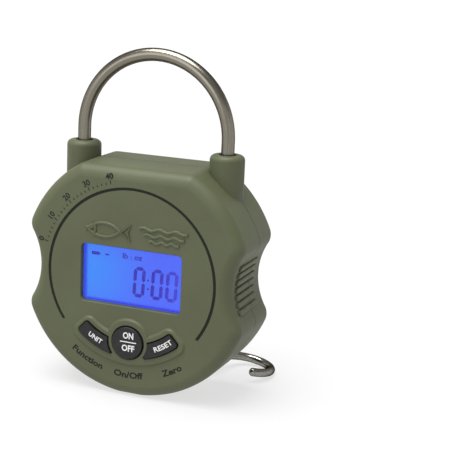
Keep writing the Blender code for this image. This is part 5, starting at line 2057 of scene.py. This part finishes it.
@dataclass
class Studio:
    """A pale floor, soft lights and the camera."""

    azimuth: float = 19.99
    elevation: float = 13.29
    roll: float = 2.69
    lens: float = 89.03
    sensor: float = 36.0
    eye: tuple[float, float, float] = (215.9 * MM, -458.3 * MM, 145.85 * MM)
    aim: tuple[float, float, float] = (0.0, 0.01, 0.07)
    floor_radius: float = 9.0
    floor_drop: float = 0.1 * MM

    def camera(self) -> None:
        """Stand the camera in front and to the right; eye is in the dial's frame."""
        turn, rise, roll = (math.radians(a) for a in (self.azimuth, self.elevation, self.roll))
        right = Vector((math.cos(turn), math.sin(turn), 0))
        up = Vector((-math.sin(turn) * math.sin(rise), math.cos(turn) * math.sin(rise), math.cos(rise)))
        back = right.cross(up)
        leaned_right = right * math.cos(roll) + up * math.sin(roll)
        leaned_up = up * math.cos(roll) - right * math.sin(roll)
        data = bpy.data.cameras.new("camera")
        data.lens = self.lens
        data.sensor_width = self.sensor
        data.clip_start = 0.01
        data.clip_end = 50.0
        camera = linked("camera", data)
        basis = Matrix((leaned_right, leaned_up, back)).transposed().to_4x4()
        camera.matrix_world = Matrix.Translation(DIAL @ Vector(self.eye)) @ basis
        bpy.context.scene.camera = camera

    def floor(self) -> None:
        """A broad round floor under the case."""
        form = Form()
        bmesh.ops.create_circle(form.bm, cap_ends=True, radius=self.floor_radius, segments=96)
        floor = form.as_object("floor")
        floor.data.transform(Matrix.Translation((0, 0, CAD_BOUNDS[0][2] - self.floor_drop)))
        floor.data.materials.append(PaleFloor().make())

    def light(self, name: str, place: tuple[float, float, float], size: float, power: float) -> None:
        """A soft square light aimed at the middle of the scale.

        Args:
            name: Its name.
            place: Where it is, in metres.
            size: Its side, in metres.
            power: Its power, in watts.
        """
        data = bpy.data.lights.new(name, "AREA")
        data.shape = "SQUARE"
        data.size = size
        data.energy = power
        lamp = linked(name, data)
        aim = Vector(self.aim) - Vector(place)
        lamp.matrix_world = (Matrix.Translation(place)
                             @ aim.to_track_quat("-Z", "Y").to_matrix().to_4x4())

    def sky_light(self, name: str, towards: tuple[float, float, float], power: float,
                  spread: float) -> None:
        """A broad far light with soft shadows.

        Args:
            name: Its name.
            towards: The way to it from the scale.
            power: Its strength.
            spread: Its width, in degrees.
        """
        data = bpy.data.lights.new(name, "SUN")
        data.energy = power
        data.angle = math.radians(spread)
        lamp = linked(name, data)
        lamp.matrix_world = (-Vector(towards)).to_track_quat("-Z", "Y").to_matrix().to_4x4()

    def build(self) -> None:
        """Set the floor, the lights, the surroundings and the camera."""
        self.floor()
        self.sky_light("key_light", towards=(-0.14, -0.20, 1.0), power=5.2, spread=46.0)
        self.light("front_light", place=(-0.42, -1.10, 0.50), size=0.8, power=4.2)
        Surroundings("studio", low=1.03, high=0.32)
        bpy.context.scene.view_settings.view_transform = "Standard"
        self.camera()


def inner_finishes(olive: bpy.types.Material, seal: bpy.types.Material,
                   glow: bpy.types.Material) -> dict[str, bpy.types.Material]:
    """The finish of each material slot for the pieces that keep their CAD mesh.

    Args:
        olive: The shells' finish.
        seal: The seals' finish.
        glow: The lit panel's finish.

    Returns:
        A finish for each slot.
    """
    return {
        "olive_shell": olive,
        "key_rubber": Rubber("key_rubber_plain", (0.012, 0.012, 0.013), 0.45).make(),
        "seal_rubber": seal,
        "clear_lens": ClearCover().make(),
        "display_blue": glow,
        "diffuser": Plastic("light_plate", (0.75, 0.8, 0.9), 0.4).make(),
        "inner_plastic": Plastic("black_moulding", (0.02, 0.02, 0.022), 0.5).make(),
        "board_green": Board().make(),
        "satin_steel": PlainMetal("steel_plain", (0.5, 0.48, 0.45), (0.35, 0.34, 0.32), 0.35).make(),
        "hook_steel": PlainMetal("steel_bright", (0.45, 0.44, 0.42), (0.3, 0.29, 0.28), 0.25).make(),
        "beam_aluminium": PlainMetal("milled_aluminium", (0.66, 0.67, 0.69), (0.5, 0.5, 0.52), 0.38,
                                     (0.1, 1.0, 1.0)).make(),
        "gauge_foil": Foil().make(),
        "zinc_screw": PlainMetal("zinc_plate", (0.5, 0.5, 0.52), (0.3, 0.3, 0.31), 0.34).make(),
        "cell_wrap": CellWrap("cell_sleeve", half_length=22.25 * MM).make(),
        "contact_nickel": PlainMetal("nickel_plate", (0.6, 0.59, 0.56), (0.45, 0.44, 0.41), 0.3).make(),
        "red_lead": Plastic("red_insulation", (0.4, 0.015, 0.015), 0.45).make(),
        "black_lead": Plastic("black_insulation", (0.012, 0.012, 0.012), 0.45).make(),
        "bush_nylon": Plastic("natural_nylon", (0.62, 0.62, 0.57), 0.5).make(),
    }


def main() -> None:
    """Build every sub-assembly in order."""
    logging.basicConfig(level=logging.INFO, format="%(message)s")
    olive = MouldedShell().make()
    seal = Rubber("seal_rubber", (0.016, 0.016, 0.016), 0.65).make()
    key_rubber = Rubber("key_rubber", (0.008, 0.008, 0.008), 0.5).make()
    panel_low, panel_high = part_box("lcd_panel")
    glow = Glow("panel_glow", lamp=(0.058, 0.285, 1.0), far=(0.092, 0.160, 1.0),
                border=(0.035, 0.035, 0.80), half_width=24.5 * MM, half_height=13.3 * MM,
                centre_z=(panel_low[2] + panel_high[2]) / 2).make()
    arch = (0.0, DIAL.translation.z + Handle.spring_z)
    rod_steel = RodSteel("satin_rod", (0.265, 0.247, 0.205), (0.15, 0.138, 0.11), 0.27, arch).make()
    hook_steel = PlainMetal("polished_wire", (0.45, 0.44, 0.395), (0.12, 0.115, 0.10), 0.18,
                            grazing=(0.1, 0.09, 0.08)).make()
    white_ink = Ink("white_legend", (0.62, 0.62, 0.62), (0.2, 0.2, 0.2)).make()
    dark_ink = Ink("dark_print", (0.006, 0.007, 0.004), (0.028, 0.031, 0.017)).make()
    mark = LitMark("lcd_mark", (0.045, 0.030, 0.44), (0.070, 0.070, 0.70),
                   fade_from=8 * MM, fade_to=24 * MM).make()
    faint = LitMark("lcd_faint", (0.085, 0.16, 0.96), (0.10, 0.17, 0.99),
                    fade_from=0.0, fade_to=24 * MM).make()

    InnerWorks(inner_finishes(olive, seal, glow)).build()
    shells = Shells(CASE, KEYS, olive)
    shells.build()
    FacePrint(dark_ink, olive).build()
    Keys(KEYS, key_rubber, white_ink).build()
    Display(mark, faint).build()
    Handle(rod_steel, seal).build()
    HookSet(hook_steel).build()
    BatteryLid(olive).build()
    CaseScrews(PlainMetal("screw_zinc", (0.42, 0.42, 0.44), (0.25, 0.25, 0.26), 0.34).make(),
               shells.mirrored()).build()
    Studio().build()


if __name__ == "__main__":
    main()
